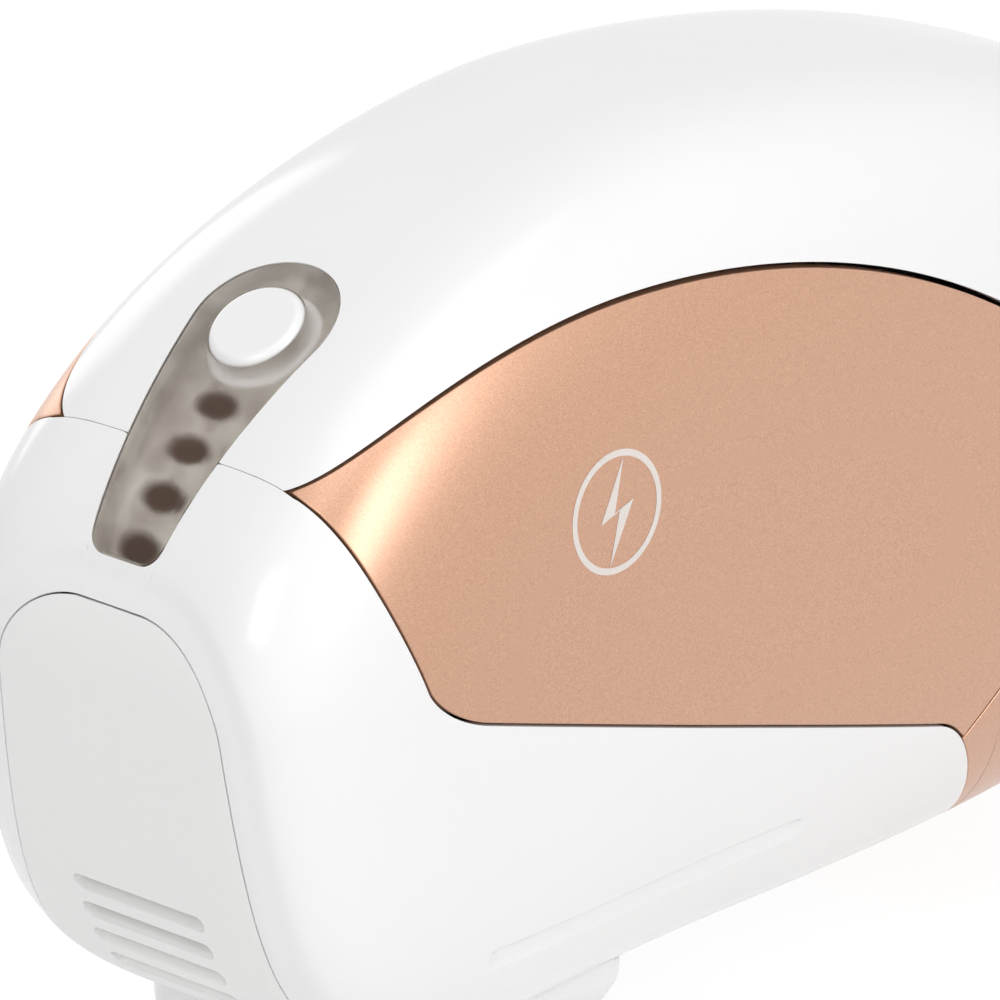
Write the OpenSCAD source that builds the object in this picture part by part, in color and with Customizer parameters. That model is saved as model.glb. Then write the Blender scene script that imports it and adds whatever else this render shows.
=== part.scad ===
// Handheld pulsed-light hair remover: a domed white housing with a rose-gold press panel on each side.
// Lengths are in millimetres. The sub-parts are drawn about the body's centre and then set on the ground.
// The nose points to -X, the tail to +X, and the treatment head looks down.

/* [Housing] */
// Reach of the nose in front of the body's centre
front_len = 63.5; // [62:0.5:70]
// Reach of the tail behind the body's centre
rear_len = 86.2; // [84:0.1:95]
// Height of the dome above the body's centre
top_h = 40.6; // [39:0.1:48]
// Depth of the belly below the body's centre
belly_h = 38.4; // [37.5:0.1:42]
// Half of the housing's width
half_w = 23.4; // [22.8:0.1:28]
// Wall of the housing
wall = 2; // [1.6:0.1:2.4]
// Hairline between two fixed covers
seam = 0.2; // [0.1:0.05:0.4]
// Roundness of the dome seen from the side, where 2 is an ellipse
dome_round = 1.8; // [1.7:0.05:2.2]
// Squareness of the nose's lower corner
nose_square = 5; // [3.5:0.1:6]
// Squareness of the tail's lower corner
tail_square = 3.2; // [2.6:0.1:4.5]
// Squareness of the housing across its width
side_square = 3.4; // [3:0.1:4.5]
// Squareness that the nose adds to that
nose_extra = 3; // [2:0.1:4]
// How far the foot of the nose is set back
nose_setback = 5.3; // [3:0.1:6]
// Height at which the set-back starts
setback_z = 15; // [5:1:20]
// Height over which the set-back grows to its value
setback_h = 40; // [35:1:60]

/* [Side panels] */
// Place of the highest point of the panel's upper edge
panel_top_x = -17.2; // [-20:0.1:-10]
// Height of that point
panel_top_z = 29.1; // [27:0.1:31]
// Radius of the upper edge towards the nose
panel_front_r = 70; // [62:1:90]
// Radius of the upper edge towards the tail
panel_rear_r = 92; // [86:1:100]
// Place of the seam between the upper shell and the lower casing
shell_seam_x = -53.2; // [-55:0.1:-51]
// Height of the panel's lower front corner
panel_low_z = -3; // [-4:0.1:2]
// Place of the panel's lower front corner
panel_low_x = -42; // [-46:0.1:-40]
// Fall of the panel's lower edge for each millimetre of length
panel_fall = 0.298; // [0.2:0.005:0.34]
// Place of the lower casing's tip
casing_tip_x = 24.6; // [22:0.1:27]
// Rise of the seam between panel and grip, in degrees
grip_seam_rise = 41; // [36:1:48]
// Half of the width between the two panels' front corners
panel_apart = 13.4; // [12:0.1:14]
// Gap round a press panel
panel_gap = 0.5; // [0.4:0.05:0.8]
// Radius of the panel's hinge pin
hinge_pin_r = 1; // [0.8:0.1:1.2]
// Running clearance of the hinge pin
hinge_play = 0.05; // [0.02:0.01:0.09]
// Place of the hinge pin
hinge_x = 40; // [36:1:42]

/* [Lens and button] */
// Place of the button along the nose
button_x = -42.7; // [-45:0.1:-40]
// Radius of the button
button_r = 4.5; // [3.5:0.1:5]
// Height of the button above the lens
button_proud = 0.7; // [0.3:0.1:1]
// Radius of the lens's round end
lens_r = 7.3; // [6.5:0.1:8]
// Half of the width of the lens's narrow end
lens_tip_w = 4.2; // [3.5:0.1:5]
// Length of the lens
lens_len = 31.5; // [30:0.5:33]
// Number of status lights
led_count = 4; // [3:1:4]
// Spacing of the status lights
led_pitch = 4.7; // [4.5:0.1:5]

/* [Vent cap and fan] */
// Height of the cap's top edge
cap_top_z = 7.4; // [5:0.1:9]
// Height of the cap's foot
cap_foot_z = -35; // [-36:0.1:-33]
// Half of the cap's width at its top corners
cap_top_w = 13.4; // [12:0.1:14]
// Half of the cap's width at its foot
cap_foot_w = 15.3; // [14:0.1:16]
// Number of vent slots
slot_count = 4; // [2:1:4]
// Spacing of the vent slots
slot_pitch = 2.95; // [2.4:0.05:3.2]
// Height of one vent slot
slot_h = 1.3; // [0.8:0.1:1.6]
// Length of one vent slot
slot_len = 15.4; // [10:0.2:18]
// Height of the uppermost vent slot
slot_top_z = -21.5; // [-22:0.1:-18]
// Side of the square fan housing
fan_side = 28; // [24:1:29]
// Depth of the fan housing
fan_depth = 9; // [8:0.5:10]
// Number of fan blades
blade_count = 7; // [5:1:9]
// Radius of the fan's shaft
fan_shaft_r = 0.8; // [0.6:0.1:1.2]
// Running clearance of the fan's shaft
fan_play = 0.05; // [0.02:0.01:0.09]

/* [Treatment head] */
// Middle of the head along the body
head_x = -26.6; // [-28:0.1:-26]
// Length of the head's collar
head_len = 35.4; // [33:0.2:36]
// Width of the head's collar
head_w = 29.2; // [27:0.2:30]
// Depth of the head below the belly, with its skin contacts
head_drop = 7.1; // [6:0.1:12]
// How much the face is drawn in from the collar on each side
head_step = 3; // [2:0.1:3.5]
// Height of the skirt that stands up from the collar, inside the casing's opening
skirt_h = 2; // [1:0.1:2.4]
// Thickness of the skirt
skirt_t = 1.2; // [1:0.1:1.5]
// Height of the head's face part
face_h = 4.2; // [3:0.1:4.6]
// Length of the light window
window_len = 23; // [18:0.5:24]
// Width of the light window
window_w = 12; // [8:0.5:13]
// Thickness of the window glass
window_t = 1.5; // [1:0.1:2]
// Ledge that the window glass lies on
window_ledge = 1.1; // [0.8:0.1:1.3]
// Radius of a skin contact
contact_r = 1.3; // [1:0.1:1.4]
// Height of the skin contacts above the face
contact_proud = 0.8; // [0.6:0.1:1]
// Gap round the head in its opening
head_gap = 0.3; // [0.2:0.05:0.5]

/* [Power inlet] */
// Radius of the inlet's mouth
inlet_r = 4; // [3.5:0.1:4.2]
// Depth of the inlet's mouth
inlet_depth = 6.4; // [4:0.2:7]
// Wall of the inlet's sleeve
inlet_wall = 1.2; // [1:0.1:1.4]
// Radius of the contact pin
inlet_pin_r = 1; // [0.8:0.1:1.2]

/* [Inside] */
// Thickness of the chassis plates
plate_t = 2; // [1.6:0.1:2.4]
// Thickness of a circuit board
board_t = 1.6; // [1:0.1:1.8]
// Radius of the storage capacitor
capacitor_r = 10; // [8:0.5:11]
// Length of the storage capacitor
capacitor_len = 36; // [30:1:40]
// Radius of the flash lamp
lamp_r = 2.2; // [1.8:0.1:2.6]
// Radius of the reflector
reflector_r = 8; // [7:0.1:8.2]
// Radius of a casing screw's shank
screw_r = 1.1; // [0.9:0.1:1.3]
// Small gap between pieces that are set in place
fit = 0.3; // [0.2:0.05:0.4]

/* [Hidden] */
$fn = 48;

white = "whitesmoke";
rose_gold = "#D3A587";
metal = "silver";
dark = "#3A3A3C";
board_green = "#2F6B4A";
glass = "#CFE3E8";

// Fineness of the housing's skin: steps round the outline and steps across the width
outline_steps = 60;
across_steps = 22;
far = 120;

// The nose is set back, so the frontmost point lies behind front_len; the origin is the middle of the length
origin_x = (rear_len - front_len + setback(-front_len, 3)) / 2;
ground_z = belly_h + head_drop;

head_face_z = contact_proud - ground_z;
head_collar_z = head_face_z + face_h;
head_top_z = wall - belly_h - fit / 2;

// Heights of the lamp, the chassis plate and the main board, and half of the plate's width
lamp_rise = 9.4;
sink_room = 9;
board_lift = 3.6;
lamp_z = lamp_rise - belly_h;
plate_z = lamp_z + reflector_r + sink_room;
board_z = plate_z + plate_t + board_lift;
plate_w = half_w - 9.4;
board_front_x = -38;
board_rear_x = 34;

// Fan on its bulkhead
bulkhead_x = -45.5;
fan_z = -10;
fan_hole_r = fan_side / 2 - 1;
motor_r = 5.5;
strut_t = 1.6;

// Power jack in the tail
jack_z = 0;
jack_sunk = 0.8;
jack_body = 7;
jack_r = inlet_r + inlet_wall;
jack_mouth_x = rear_len - jack_sunk;
jack_back_x = jack_mouth_x - inlet_depth - jack_body;

// Levers of the press panels, their hinge and their switches
arm_in = 3.8;
arm_t = 1.8;
arm_y = half_w - wall - arm_in;
hinge_y = arm_y - 0.4;
hinge_barrel_r = 2.4;
hinge_span = 18;
hinge_low_z = plate_z + plate_t;
hinge_high_z = hinge_low_z + hinge_span;
switch_x = -26;
switch_side = 6;
switch_body_h = 2.4;
switch_post_y = plate_w - 3;
switch_base_y = switch_post_y + plate_t;

// Lamp between its two holders, and the filter under it
holder_t = 3.5;
holder_in = 2.4;
holder_front_x = head_x - head_len / 2 + holder_in;
holder_rear_x = head_x + head_len / 2 - holder_in - holder_t;
lamp_front_x = holder_front_x + holder_t / 2;
lamp_rear_x = holder_rear_x + holder_t / 2;
filter_t = 1.5;
filter_drop = 5.4;
filter_top_z = lamp_z - filter_drop - fit;
contact_x = head_len / 2 - head_step - contact_r - 2;
contact_y = window_w / 2 + window_ledge + contact_r + 0.6;
contact_places = [for (x = [-1, 1]) for (y = [-1, 1]) [head_x + x * contact_x, y * contact_y]];

// Casing screws: places in the plan, and their heads and posts
screw_places = [[-5, 8], [-5, -8], [50, 6], [50, -6]];
screw_head_r = 2.2;
screw_head_h = 1.5;
screw_sunk = 0.6;
post_r = 3;

// Superellipse power that keeps the sign
function spow(c, p) = sign(c) * pow(abs(c), 2 / p);

// Roundness of the outline in the quarter that holds the direction (c, s)
function quarter(c, s) = s > 0 ? dome_round : (c < 0 ? nose_square : tail_square);

// Point of the side outline at angle t, drawn in by inset
function outline(t, inset) = let(c = cos(t), s = sin(t), p = quarter(c, s))
    [((c < 0 ? front_len : rear_len) - inset) * spow(c, p), ((s > 0 ? top_h : belly_h) - inset) * spow(s, p)];

// Squareness across the width where the outline is at x
function across(x) = side_square + (x < 0 ? nose_extra * pow(x / front_len, 2) : 0);

// Set-back of the nose at a point of the plain superellipsoid
function setback(x, z) = x < 0 && z < setback_z
    ? nose_setback * pow((setback_z - z) / setback_h, 1.5) * pow(x / front_len, 2)
    : 0;

// Point of the skin: t runs round the outline and l across the width from one side to the other
function skin(t, l, inset) =
    let(o = outline(t, inset), n = across(o[0]), r = pow(sin(l), 2 / n), x = o[0] * r, z = o[1] * r)
    [x + setback(x, z), (half_w - inset) * spow(cos(l), n), z];

// Half of the inner width at a place of the side view
function inner_y(x, z) =
    let(a = (x < 0 ? front_len : rear_len) - wall, b = (z > 0 ? top_h : belly_h) - wall, p = quarter(x, z))
    let(r = pow(pow(abs(x) / a, p) + pow(abs(z) / b, p), 1 / p), n = across(x))
    (half_w - wall) * pow(1 - pow(r, n), 1 / n);

// Height of the belly's skin under a place of the plan, drawn in by inset
function floor_z(x, y, inset) =
    let(p = x < 0 ? nose_square : tail_square, n = across(x), a = (x < 0 ? front_len : rear_len) - inset)
    let(r = pow(1 - pow(abs(y) / (half_w - inset), n), 1 / n))
    -(belly_h - inset) * pow(pow(r, p) - pow(abs(x) / a, p), 1 / p);

// Height of a screw post's foot, clear of the sloping floor all round
function post_foot(p) = floor_z(p[0] + (p[0] > 0 ? post_r : -post_r), abs(p[1]) + post_r, wall) + fit;

// Height of the dome's outline over x, in front of the centre
function dome_z(x) = top_h * pow(1 - pow(abs(x) / front_len, dome_round), 1 / dome_round);

// Points of an arc about c
function arc(c, r, a0, a1, steps) =
    [for (i = [0:steps]) let(a = a0 + (a1 - a0) * i / steps) c + r * [cos(a), sin(a)]];

// Points of a cubic curve with the four control points p
function curve(p, steps) = [for (i = [0:steps]) let(u = i / steps, v = 1 - u)
    v * v * v * p[0] + 3 * v * v * u * p[1] + 3 * v * u * u * p[2] + u * u * u * p[3]];

// Tilt of the dome's outline at x, from level towards the nose
function dome_tilt(x) = atan2(pow(abs(x), dome_round - 1) / pow(front_len, dome_round),
    pow(dome_z(x), dome_round - 1) / pow(top_h, dome_round));

button_z = dome_z(button_x);
button_tilt = dome_tilt(button_x);

// The lens lies on a chord of the dome, from its round end behind the button down to its narrow end
lens_round_x = button_x + lens_r - 0.4;
lens_tilt = dome_tilt(button_x - 4.6);
lens_mid = [lens_round_x, dome_z(lens_round_x)] - lens_len / 2 * [cos(lens_tilt), sin(lens_tilt)];
lens_board = -6.3;
led_first = -14.2;

// Edges of the covers in the side view
front_arc_c = [panel_top_x, panel_top_z - panel_front_r];
rear_arc_c = [panel_top_x, panel_top_z - panel_rear_r];
front_arc_end = acos((shell_seam_x - panel_top_x) / panel_front_r);
top_edge = concat(
    arc(front_arc_c, panel_front_r, front_arc_end, 90, 14),
    arc(rear_arc_c, panel_rear_r, 90, 2, 30));
panel_corner = top_edge[0];
casing_tip = [casing_tip_x, panel_low_z - panel_fall * (casing_tip_x - panel_low_x)];
front_edge = curve([panel_corner, panel_corner + [1.4, -6], [panel_low_x - 5, panel_low_z + 8.1],
    [panel_low_x - 3.2, panel_low_z + 3.7]], 10);
low_corner = curve([[panel_low_x - 3.2, panel_low_z + 3.7], [panel_low_x - 2.4, panel_low_z + 2.2],
    [panel_low_x, panel_low_z], [panel_low_x + 4, panel_low_z - 4 * panel_fall]], 6);
tip_edge = curve([casing_tip - [2, -2 * panel_fall], casing_tip + [1.6, -0.6], casing_tip + [3.6, -4.5],
    casing_tip + [6, -11]], 8);
lower_edge = concat(front_edge, low_corner, tip_edge, [casing_tip + [7.5, -18]]);
grip_corner = tip_edge[3];

// Angle at which the grip seam meets the upper edge, about the rear arc's centre
grip_dir = [cos(grip_seam_rise), sin(grip_seam_rise)];
grip_rel = grip_corner - rear_arc_c;
grip_along = -(grip_rel * grip_dir)
    + sqrt(pow(grip_rel * grip_dir, 2) - grip_rel * grip_rel + panel_rear_r * panel_rear_r);
grip_end = grip_corner + grip_along * grip_dir;
grip_angle = atan2(grip_end[1] - rear_arc_c[1], grip_end[0] - rear_arc_c[0]);

panel_shape = concat(
    front_edge, low_corner, [for (i = [0:3]) tip_edge[i]],
    arc(rear_arc_c, panel_rear_r, grip_angle, 90, 16),
    arc(front_arc_c, panel_front_r, 90, front_arc_end, 14));
grip_shape = concat(
    [for (i = [3:8]) tip_edge[i]], [casing_tip + [7.5, -18]],
    arc(rear_arc_c, panel_rear_r, 5, grip_angle, 16));
upper_shape = concat(top_edge, [[far, top_edge[len(top_edge) - 1][1]], [far, far], [shell_seam_x, far]]);
lip_edge = [for (i = [0:4]) top_edge[i]];
lip_shape = concat([[-far, far], [shell_seam_x, far]], lip_edge, [[lip_edge[4][0], -far], [-far, -far]]);
lower_shape = concat([[-far, far], [shell_seam_x, far]], lower_edge, [[casing_tip[0] + 7.5, -far], [-far, -far]]);

// Sets a sub-part, drawn about the body's centre, on the ground
module place() {
    translate([-origin_x, 0, ground_z]) children();
}

// One smooth skin, kept as a single mesh
module as_mesh() {
    resize([0, 0, 0]) children();
}

// The housing's full form, drawn in by inset
module body(inset) {
    rings = [for (j = [1:across_steps - 1]) for (i = [0:outline_steps - 1])
        skin(360 * i / outline_steps, 180 * j / across_steps, inset)];
    points = concat([[0, half_w - inset, 0]], rings, [[0, inset - half_w, 0]]);
    last = len(points) - 1;
    function at(j, i) = 1 + (j - 1) * outline_steps + i % outline_steps;
    steps = [0:outline_steps - 1];
    first_fan = [for (i = steps) [0, at(1, i), at(1, i + 1)]];
    bands = [for (j = [1:across_steps - 2]) for (i = steps) each [
        [at(j, i), at(j + 1, i), at(j + 1, i + 1)], [at(j, i), at(j + 1, i + 1), at(j, i + 1)]]];
    last_fan = [for (i = steps) [last, at(across_steps - 1, i + 1), at(across_steps - 1, i)]];
    polyhedron(points, concat(first_fan, bands, last_fan));
}

// The wall of the housing
module housing_wall() {
    difference() {
        body(0);
        body(wall);
    }
}

// A side-view shape carried across the width
module through_width(points, inset) {
    rotate([90, 0, 0]) linear_extrude(2 * far, center = true) offset(delta = -inset) polygon(points);
}

// The wall of one cover, cut out by its shape in the side view
module cover(points, inset) {
    intersection() {
        housing_wall();
        through_width(points, inset);
    }
}

module at_button() {
    translate([button_x, 0, button_z]) rotate([0, -button_tilt, 0]) children();
}

module at_lens() {
    translate([lens_mid[0], 0, lens_mid[1]]) rotate([0, -lens_tilt, 0]) children();
}

// Teardrop prism of the lens, grown by extra
module lens_prism(extra) {
    tip_corner = 2;
    at_lens() translate([0, 0, -6]) linear_extrude(16) offset(delta = extra) hull() {
        translate([lens_len / 2 - lens_r, 0]) circle(lens_r, $fn = 32);
        for (side = [-1, 1])
            translate([tip_corner - lens_len / 2, side * (lens_tip_w - tip_corner)]) circle(tip_corner, $fn = 24);
    }
}

// Outline of the vent cap, carried along the body through the nose and grown by extra
module cap_prism(extra) {
    top_r = 8.5;
    foot_r = 5;
    reach = 18;
    translate([-front_len - 4, 0, 0]) rotate([90, 0, 90]) linear_extrude(reach) offset(delta = extra) hull() {
        for (side = [-1, 1]) {
            translate([side * (cap_top_w - top_r), cap_top_z - top_r]) circle(top_r, $fn = 32);
            translate([side * (cap_foot_w - foot_r), cap_foot_z + foot_r]) circle(foot_r, $fn = 32);
        }
    }
}

// Plan of a rounded block
module rounded_plan(l, w, r) {
    square([l - 2 * r, w], center = true);
    square([l, w - 2 * r], center = true);
    for (x = [-1, 1])
        for (y = [-1, 1])
            translate([x * (l / 2 - r), y * (w / 2 - r)]) circle(r);
}

// A cylinder along X that starts at x0
module along_x(x0, length, r, y = 0, z = 0) {
    translate([x0, y, z]) rotate([0, 90, 0]) cylinder(r = r, h = length);
}

// A box given by its lowest and highest corners
module box(low, high) {
    translate(low) cube(high - low);
}

// Clearance holes of the casing screws, with room for their heads
module screw_holes() {
    for (p = screw_places) {
        skin_z = floor_z(p[0], p[1], 0);
        translate([p[0], p[1], skin_z - 3]) cylinder(r = screw_r + fit, h = 10, $fn = 24);
        translate([p[0], p[1], skin_z - 3]) cylinder(r = screw_head_r + fit, h = 3 + screw_head_h, $fn = 24);
    }
}

module upper_shell() {
    color(white) place() as_mesh() difference() {
        cover(upper_shape, seam / 2);
        lens_prism(seam);
        along_x(jack_back_x, 40, jack_r + fit, z = jack_z);
    }
}

module lower_casing() {
    press_room = 2.4;
    lip_w = 2 * (panel_apart - press_room);
    color(white) place() as_mesh() difference() {
        union() {
            cover(lower_shape, seam / 2);
            intersection() {
                cover(lip_shape, seam / 2);
                cube([2 * far, lip_w, 2 * far], center = true);
            }
        }
        lens_prism(seam);
        cap_prism(seam);
        screw_holes();
        translate([head_x, 0, -far]) linear_extrude(far - 20)
            rounded_plan(head_len + 2 * head_gap, head_w + 2 * head_gap, 5 + head_gap);
    }
}

module front_vent_cap() {
    color("gainsboro") place() as_mesh() difference() {
        intersection() {
            housing_wall();
            cap_prism(0);
        }
        for (i = [0:slot_count - 1])
            translate([-front_len, 0, slot_top_z - i * slot_pitch]) cube([60, slot_len, slot_h], center = true);
    }
}

module grip_cover() {
    color(rose_gold) place() as_mesh() difference() {
        cover(grip_shape, seam / 2);
        screw_holes();
    }
}

// side is -1 for the left panel and 1 for the right one
module flash_panel(side) {
    color(rose_gold) place() as_mesh() intersection() {
        cover(panel_shape, panel_gap);
        translate([0, side * (panel_apart + far / 2), 0]) cube([2 * far, far, 2 * far], center = true);
    }
}

module flash_panel_left() {
    flash_panel(-1);
}

module flash_panel_right() {
    flash_panel(1);
}

// Lever that carries a press panel and turns on the hinge pin
module panel_carrier(side) {
    arm_h = 10;
    pad_r = 2.5;
    pads = [-28, 4, 28];
    function pad_h(x) = min(inner_y(x + pad_r, pad_r), inner_y(x - pad_r, pad_r)) - arm_y - fit / 2;
    color(white) place() difference() {
        union() {
            translate([hinge_x, side * hinge_y, hinge_low_z + fit])
                cylinder(r = hinge_barrel_r, h = hinge_high_z - hinge_low_z - 2 * fit);
            translate([pads[0] - pad_r, side > 0 ? arm_y : -arm_y - arm_t, -arm_h / 2])
                cube([hinge_x - hinge_barrel_r / 2 - pads[0] + pad_r, arm_t, arm_h]);
            for (x = pads)
                translate([x, side * arm_y, 0]) rotate([-90 * side, 0, 0])
                    cylinder(r = pad_r, h = pad_h(x));
        }
        translate([hinge_x, side * hinge_y, hinge_low_z - 1])
            cylinder(r = hinge_pin_r + hinge_play, h = hinge_high_z - hinge_low_z + 2);
    }
}

module panel_carrier_left() {
    panel_carrier(-1);
}

module panel_carrier_right() {
    panel_carrier(1);
}

module panel_pivot_pins() {
    color(metal) place() for (side = [-1, 1])
        translate([hinge_x, side * hinge_y, plate_z])
            cylinder(r = hinge_pin_r, h = hinge_high_z + plate_t - plate_z);
}

// Push switch that a press panel works
module flash_switch(side) {
    plunger_r = 1.2;
    plunger_h = 0.6;
    color(dark) place() translate([switch_x, side * switch_base_y, 0]) rotate([-90 * side, 0, 0]) {
        translate([-switch_side / 2, -switch_side / 2, 0]) cube([switch_side, switch_side, switch_body_h]);
        cylinder(r = plunger_r, h = switch_body_h + plunger_h);
    }
}

module flash_switch_left() {
    flash_switch(-1);
}

module flash_switch_right() {
    flash_switch(1);
}

module indicator_lens() {
    color("#A8A098") place() as_mesh() difference() {
        intersection() {
            housing_wall();
            lens_prism(0);
        }
        at_button() cylinder(r = button_r + seam, h = 20, center = true);
    }
}

// Well block that keeps the status lights apart under the lens
module light_guide() {
    guide_w = 6.4;
    guide_end = 2.2;
    well_r = 1.8;
    last = led_count - 1;
    color(dark) place() as_mesh() difference() {
        intersection() {
            at_lens() translate([led_first - guide_end, -guide_w / 2, lens_board])
                cube([last * led_pitch + 2 * guide_end, guide_w, 20]);
            body(wall + fit);
        }
        for (i = [0:last])
            at_lens() translate([led_first + i * led_pitch, 0, lens_board - 1])
                cylinder(r = well_r, h = 30, $fn = 24);
    }
}

module mode_button() {
    flange_r = button_r + 0.8;
    edge = 0.5;
    stem_r = 1.5;
    flange_z = -wall - 0.5;
    flange_low_z = flange_z - 0.8;
    stem_z = flange_z - 2;
    color(white) place() at_button() rotate_extrude() polygon([
        [0, button_proud], [button_r - edge, button_proud], [button_r, button_proud - edge],
        [button_r, flange_z], [flange_r, flange_z], [flange_r, flange_low_z],
        [stem_r, flange_low_z], [stem_r, stem_z], [0, stem_z]]);
}

module mode_switch() {
    body_side = 6;
    body_h = 1.7;
    plunger_r = 1.5;
    plunger_h = 0.3;
    color(dark) place() at_lens() translate([lens_len / 2 - lens_r - 1, 0, lens_board]) {
        translate([-body_side / 2, -body_side / 2, 0]) cube([body_side, body_side, body_h]);
        cylinder(r = plunger_r, h = body_h + plunger_h);
    }
}

module led_board() {
    board_w = 11;
    front = -17;
    color(board_green) place() at_lens() translate([front, -board_w / 2, lens_board - board_t])
        cube([lens_len - 2.5, board_w, board_t]);
}

module status_leds() {
    chip = [2, 1.6, 1];
    color("ivory") place() at_lens() for (i = [0:led_count - 1])
        translate([led_first + i * led_pitch - chip[0] / 2, -chip[1] / 2, lens_board]) cube(chip);
}

module fan_housing() {
    color(dark) place() translate([bulkhead_x - fan_depth, 0, fan_z]) difference() {
        box([0, -fan_side / 2, -fan_side / 2], [fan_depth, fan_side / 2, fan_side / 2]);
        along_x(-1, fan_depth - strut_t + 1, fan_hole_r);
        difference() {
            along_x(0, fan_depth + 1, fan_hole_r);
            along_x(0, fan_depth + 1, motor_r);
            for (a = [45, 135])
                rotate([a, 0, 0]) box([0, -fan_side, -1], [fan_depth + 1, fan_side, 1]);
        }
        along_x(-1, fan_depth + 2, fan_shaft_r);
    }
}

module fan_motor() {
    stator_t = 0.8;
    color(metal) place() translate([bulkhead_x, 0, fan_z]) {
        along_x(-strut_t - stator_t, stator_t, motor_r - 1.5);
        along_x(-fan_depth + 1, fan_depth - 1, fan_shaft_r);
    }
}

module fan_rotor() {
    hub_r = 5;
    hub_x = -fan_depth + 0.8;
    hub_len = fan_depth - strut_t - 1.6 - fit;
    tip_r = fan_hole_r - 0.8;
    blade_t = 0.9;
    pitch = 40;
    chord = 5;
    color(dark) place() translate([bulkhead_x, 0, fan_z]) difference() {
        union() {
            along_x(hub_x, hub_len, hub_r);
            for (i = [0:blade_count - 1])
                rotate([360 * i / blade_count, 0, 0]) translate([hub_x + hub_len / 2, 0, hub_r - 0.6])
                    rotate([0, 0, pitch]) translate([-chord / 2, -blade_t / 2, 0])
                        cube([chord, blade_t, tip_r - hub_r]);
        }
        along_x(-fan_depth - 1, fan_depth + 2, fan_shaft_r + fan_play);
    }
}

module chassis() {
    rear_x = 58;
    tongue_x = jack_back_x + 6;
    tongue_w = 6;
    ear_x0 = hinge_x - 3;
    ear_x1 = hinge_x + 3;
    ear_y = hinge_y + hinge_barrel_r;
    post_in = plate_w - plate_t;
    bulkhead_h = fan_side / 2 - 2;
    stand_x = [-34, 30];
    stand_y = 8;
    stand_r = 2;
    color("lightgray") place() difference() {
        union() {
            box([bulkhead_x, -plate_w, plate_z], [rear_x, plate_w, plate_z + plate_t]);
            box([rear_x - 1, -tongue_w, plate_z], [tongue_x, tongue_w, plate_z + plate_t]);
            box([bulkhead_x, -plate_w, fan_z - bulkhead_h], [bulkhead_x + plate_t, plate_w, fan_z + bulkhead_h]);
            box([jack_back_x, -tongue_w, plate_z], [tongue_x, tongue_w, jack_z - jack_r / 2]);
            for (side = [-1, 1]) scale([1, side, 1]) {
                box([ear_x0, post_in, plate_z], [ear_x1, ear_y, plate_z + plate_t]);
                box([ear_x0, post_in, plate_z], [ear_x1, plate_w, hinge_high_z + plate_t]);
                box([ear_x0, post_in, hinge_high_z], [ear_x1, ear_y, hinge_high_z + plate_t]);
                box([switch_x - switch_side / 2, switch_post_y, plate_z],
                    [switch_x + switch_side / 2, switch_base_y, switch_side / 2]);
                for (x = stand_x)
                    translate([x, stand_y, plate_z]) cylinder(r = stand_r, h = board_z - plate_z);
            }
            for (p = screw_places)
                translate([p[0], p[1], post_foot(p)]) cylinder(r = post_r, h = plate_z + plate_t - post_foot(p));
        }
        along_x(bulkhead_x - 1, plate_t + 2, bulkhead_h - 1, z = fan_z);
        along_x(jack_back_x - 1, 30, jack_r, z = jack_z);
        for (side = [-1, 1])
            translate([hinge_x, side * hinge_y, plate_z - 1]) cylinder(r = hinge_pin_r, h = 40);
        for (p = screw_places)
            translate([p[0], p[1], floor_z(p[0], p[1], 0) - 1]) cylinder(r = screw_r + hinge_play, h = 16);
    }
}

module main_board() {
    board_w = switch_post_y - 0.6;
    color(board_green) place() box([board_front_x, -board_w, board_z], [board_rear_x, board_w, board_z + board_t]);
}

module control_chips() {
    chip = [8, 8, 1.4];
    color(dark) place() for (x = [-8, 4])
        translate([x, -chip[1] / 2, board_z + board_t]) cube(chip);
}

module trigger_transformer() {
    core = [14, 13, 10];
    color("khaki") place() translate([-32, -core[1] / 2, board_z + board_t]) cube(core);
}

module charge_coil() {
    coil_x = 23;
    ring_r = 5.5;
    wire_r = 3;
    color("orange") place() translate([coil_x, 0, board_z + board_t + wire_r]) rotate_extrude()
        translate([ring_r, 0]) circle(wire_r);
}

module storage_capacitor() {
    color("#34495E") place() along_x(1, capacitor_len, capacitor_r, z = plate_z - fit - capacitor_r);
}

module heat_sink() {
    base_t = 1.6;
    fin_t = 1.2;
    fin_pitch = 4;
    half = 2;
    low_z = lamp_z + reflector_r + fit;
    x0 = holder_front_x + holder_t + fit;
    x1 = holder_rear_x - fit;
    color(metal) place() {
        box([x0, -half * fin_pitch - 1, low_z], [x1, half * fin_pitch + 1, low_z + base_t]);
        for (i = [-half:half])
            box([x0, i * fin_pitch - fin_t / 2, low_z], [x1, i * fin_pitch + fin_t / 2, plate_z - fit]);
    }
}

module lamp_reflector() {
    sheet = 0.8;
    x0 = holder_front_x + holder_t + fit;
    length = holder_rear_x - fit - x0;
    foot_z = filter_top_z + fit - lamp_z;
    color(metal) place() translate([0, 0, lamp_z]) difference() {
        union() {
            along_x(x0, length, reflector_r);
            box([x0, -reflector_r, foot_z], [x0 + length, reflector_r, 0]);
        }
        along_x(x0 - 1, length + 2, reflector_r - sheet);
        box([x0 - 1, sheet - reflector_r, -reflector_r - 1], [x0 + length + 1, reflector_r - sheet, 0]);
        box([x0 - 1, -reflector_r - 1, -reflector_r - 1], [x0 + length + 1, reflector_r + 1, foot_z]);
    }
}

module flash_lamp() {
    color(glass) place() along_x(lamp_front_x, lamp_rear_x - lamp_front_x, lamp_r, z = lamp_z);
}

module lamp_electrodes() {
    cap_len = 3;
    color(metal) place() {
        along_x(lamp_front_x - cap_len, cap_len, lamp_r, z = lamp_z);
        along_x(lamp_rear_x, cap_len, lamp_r, z = lamp_z);
    }
}

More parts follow.
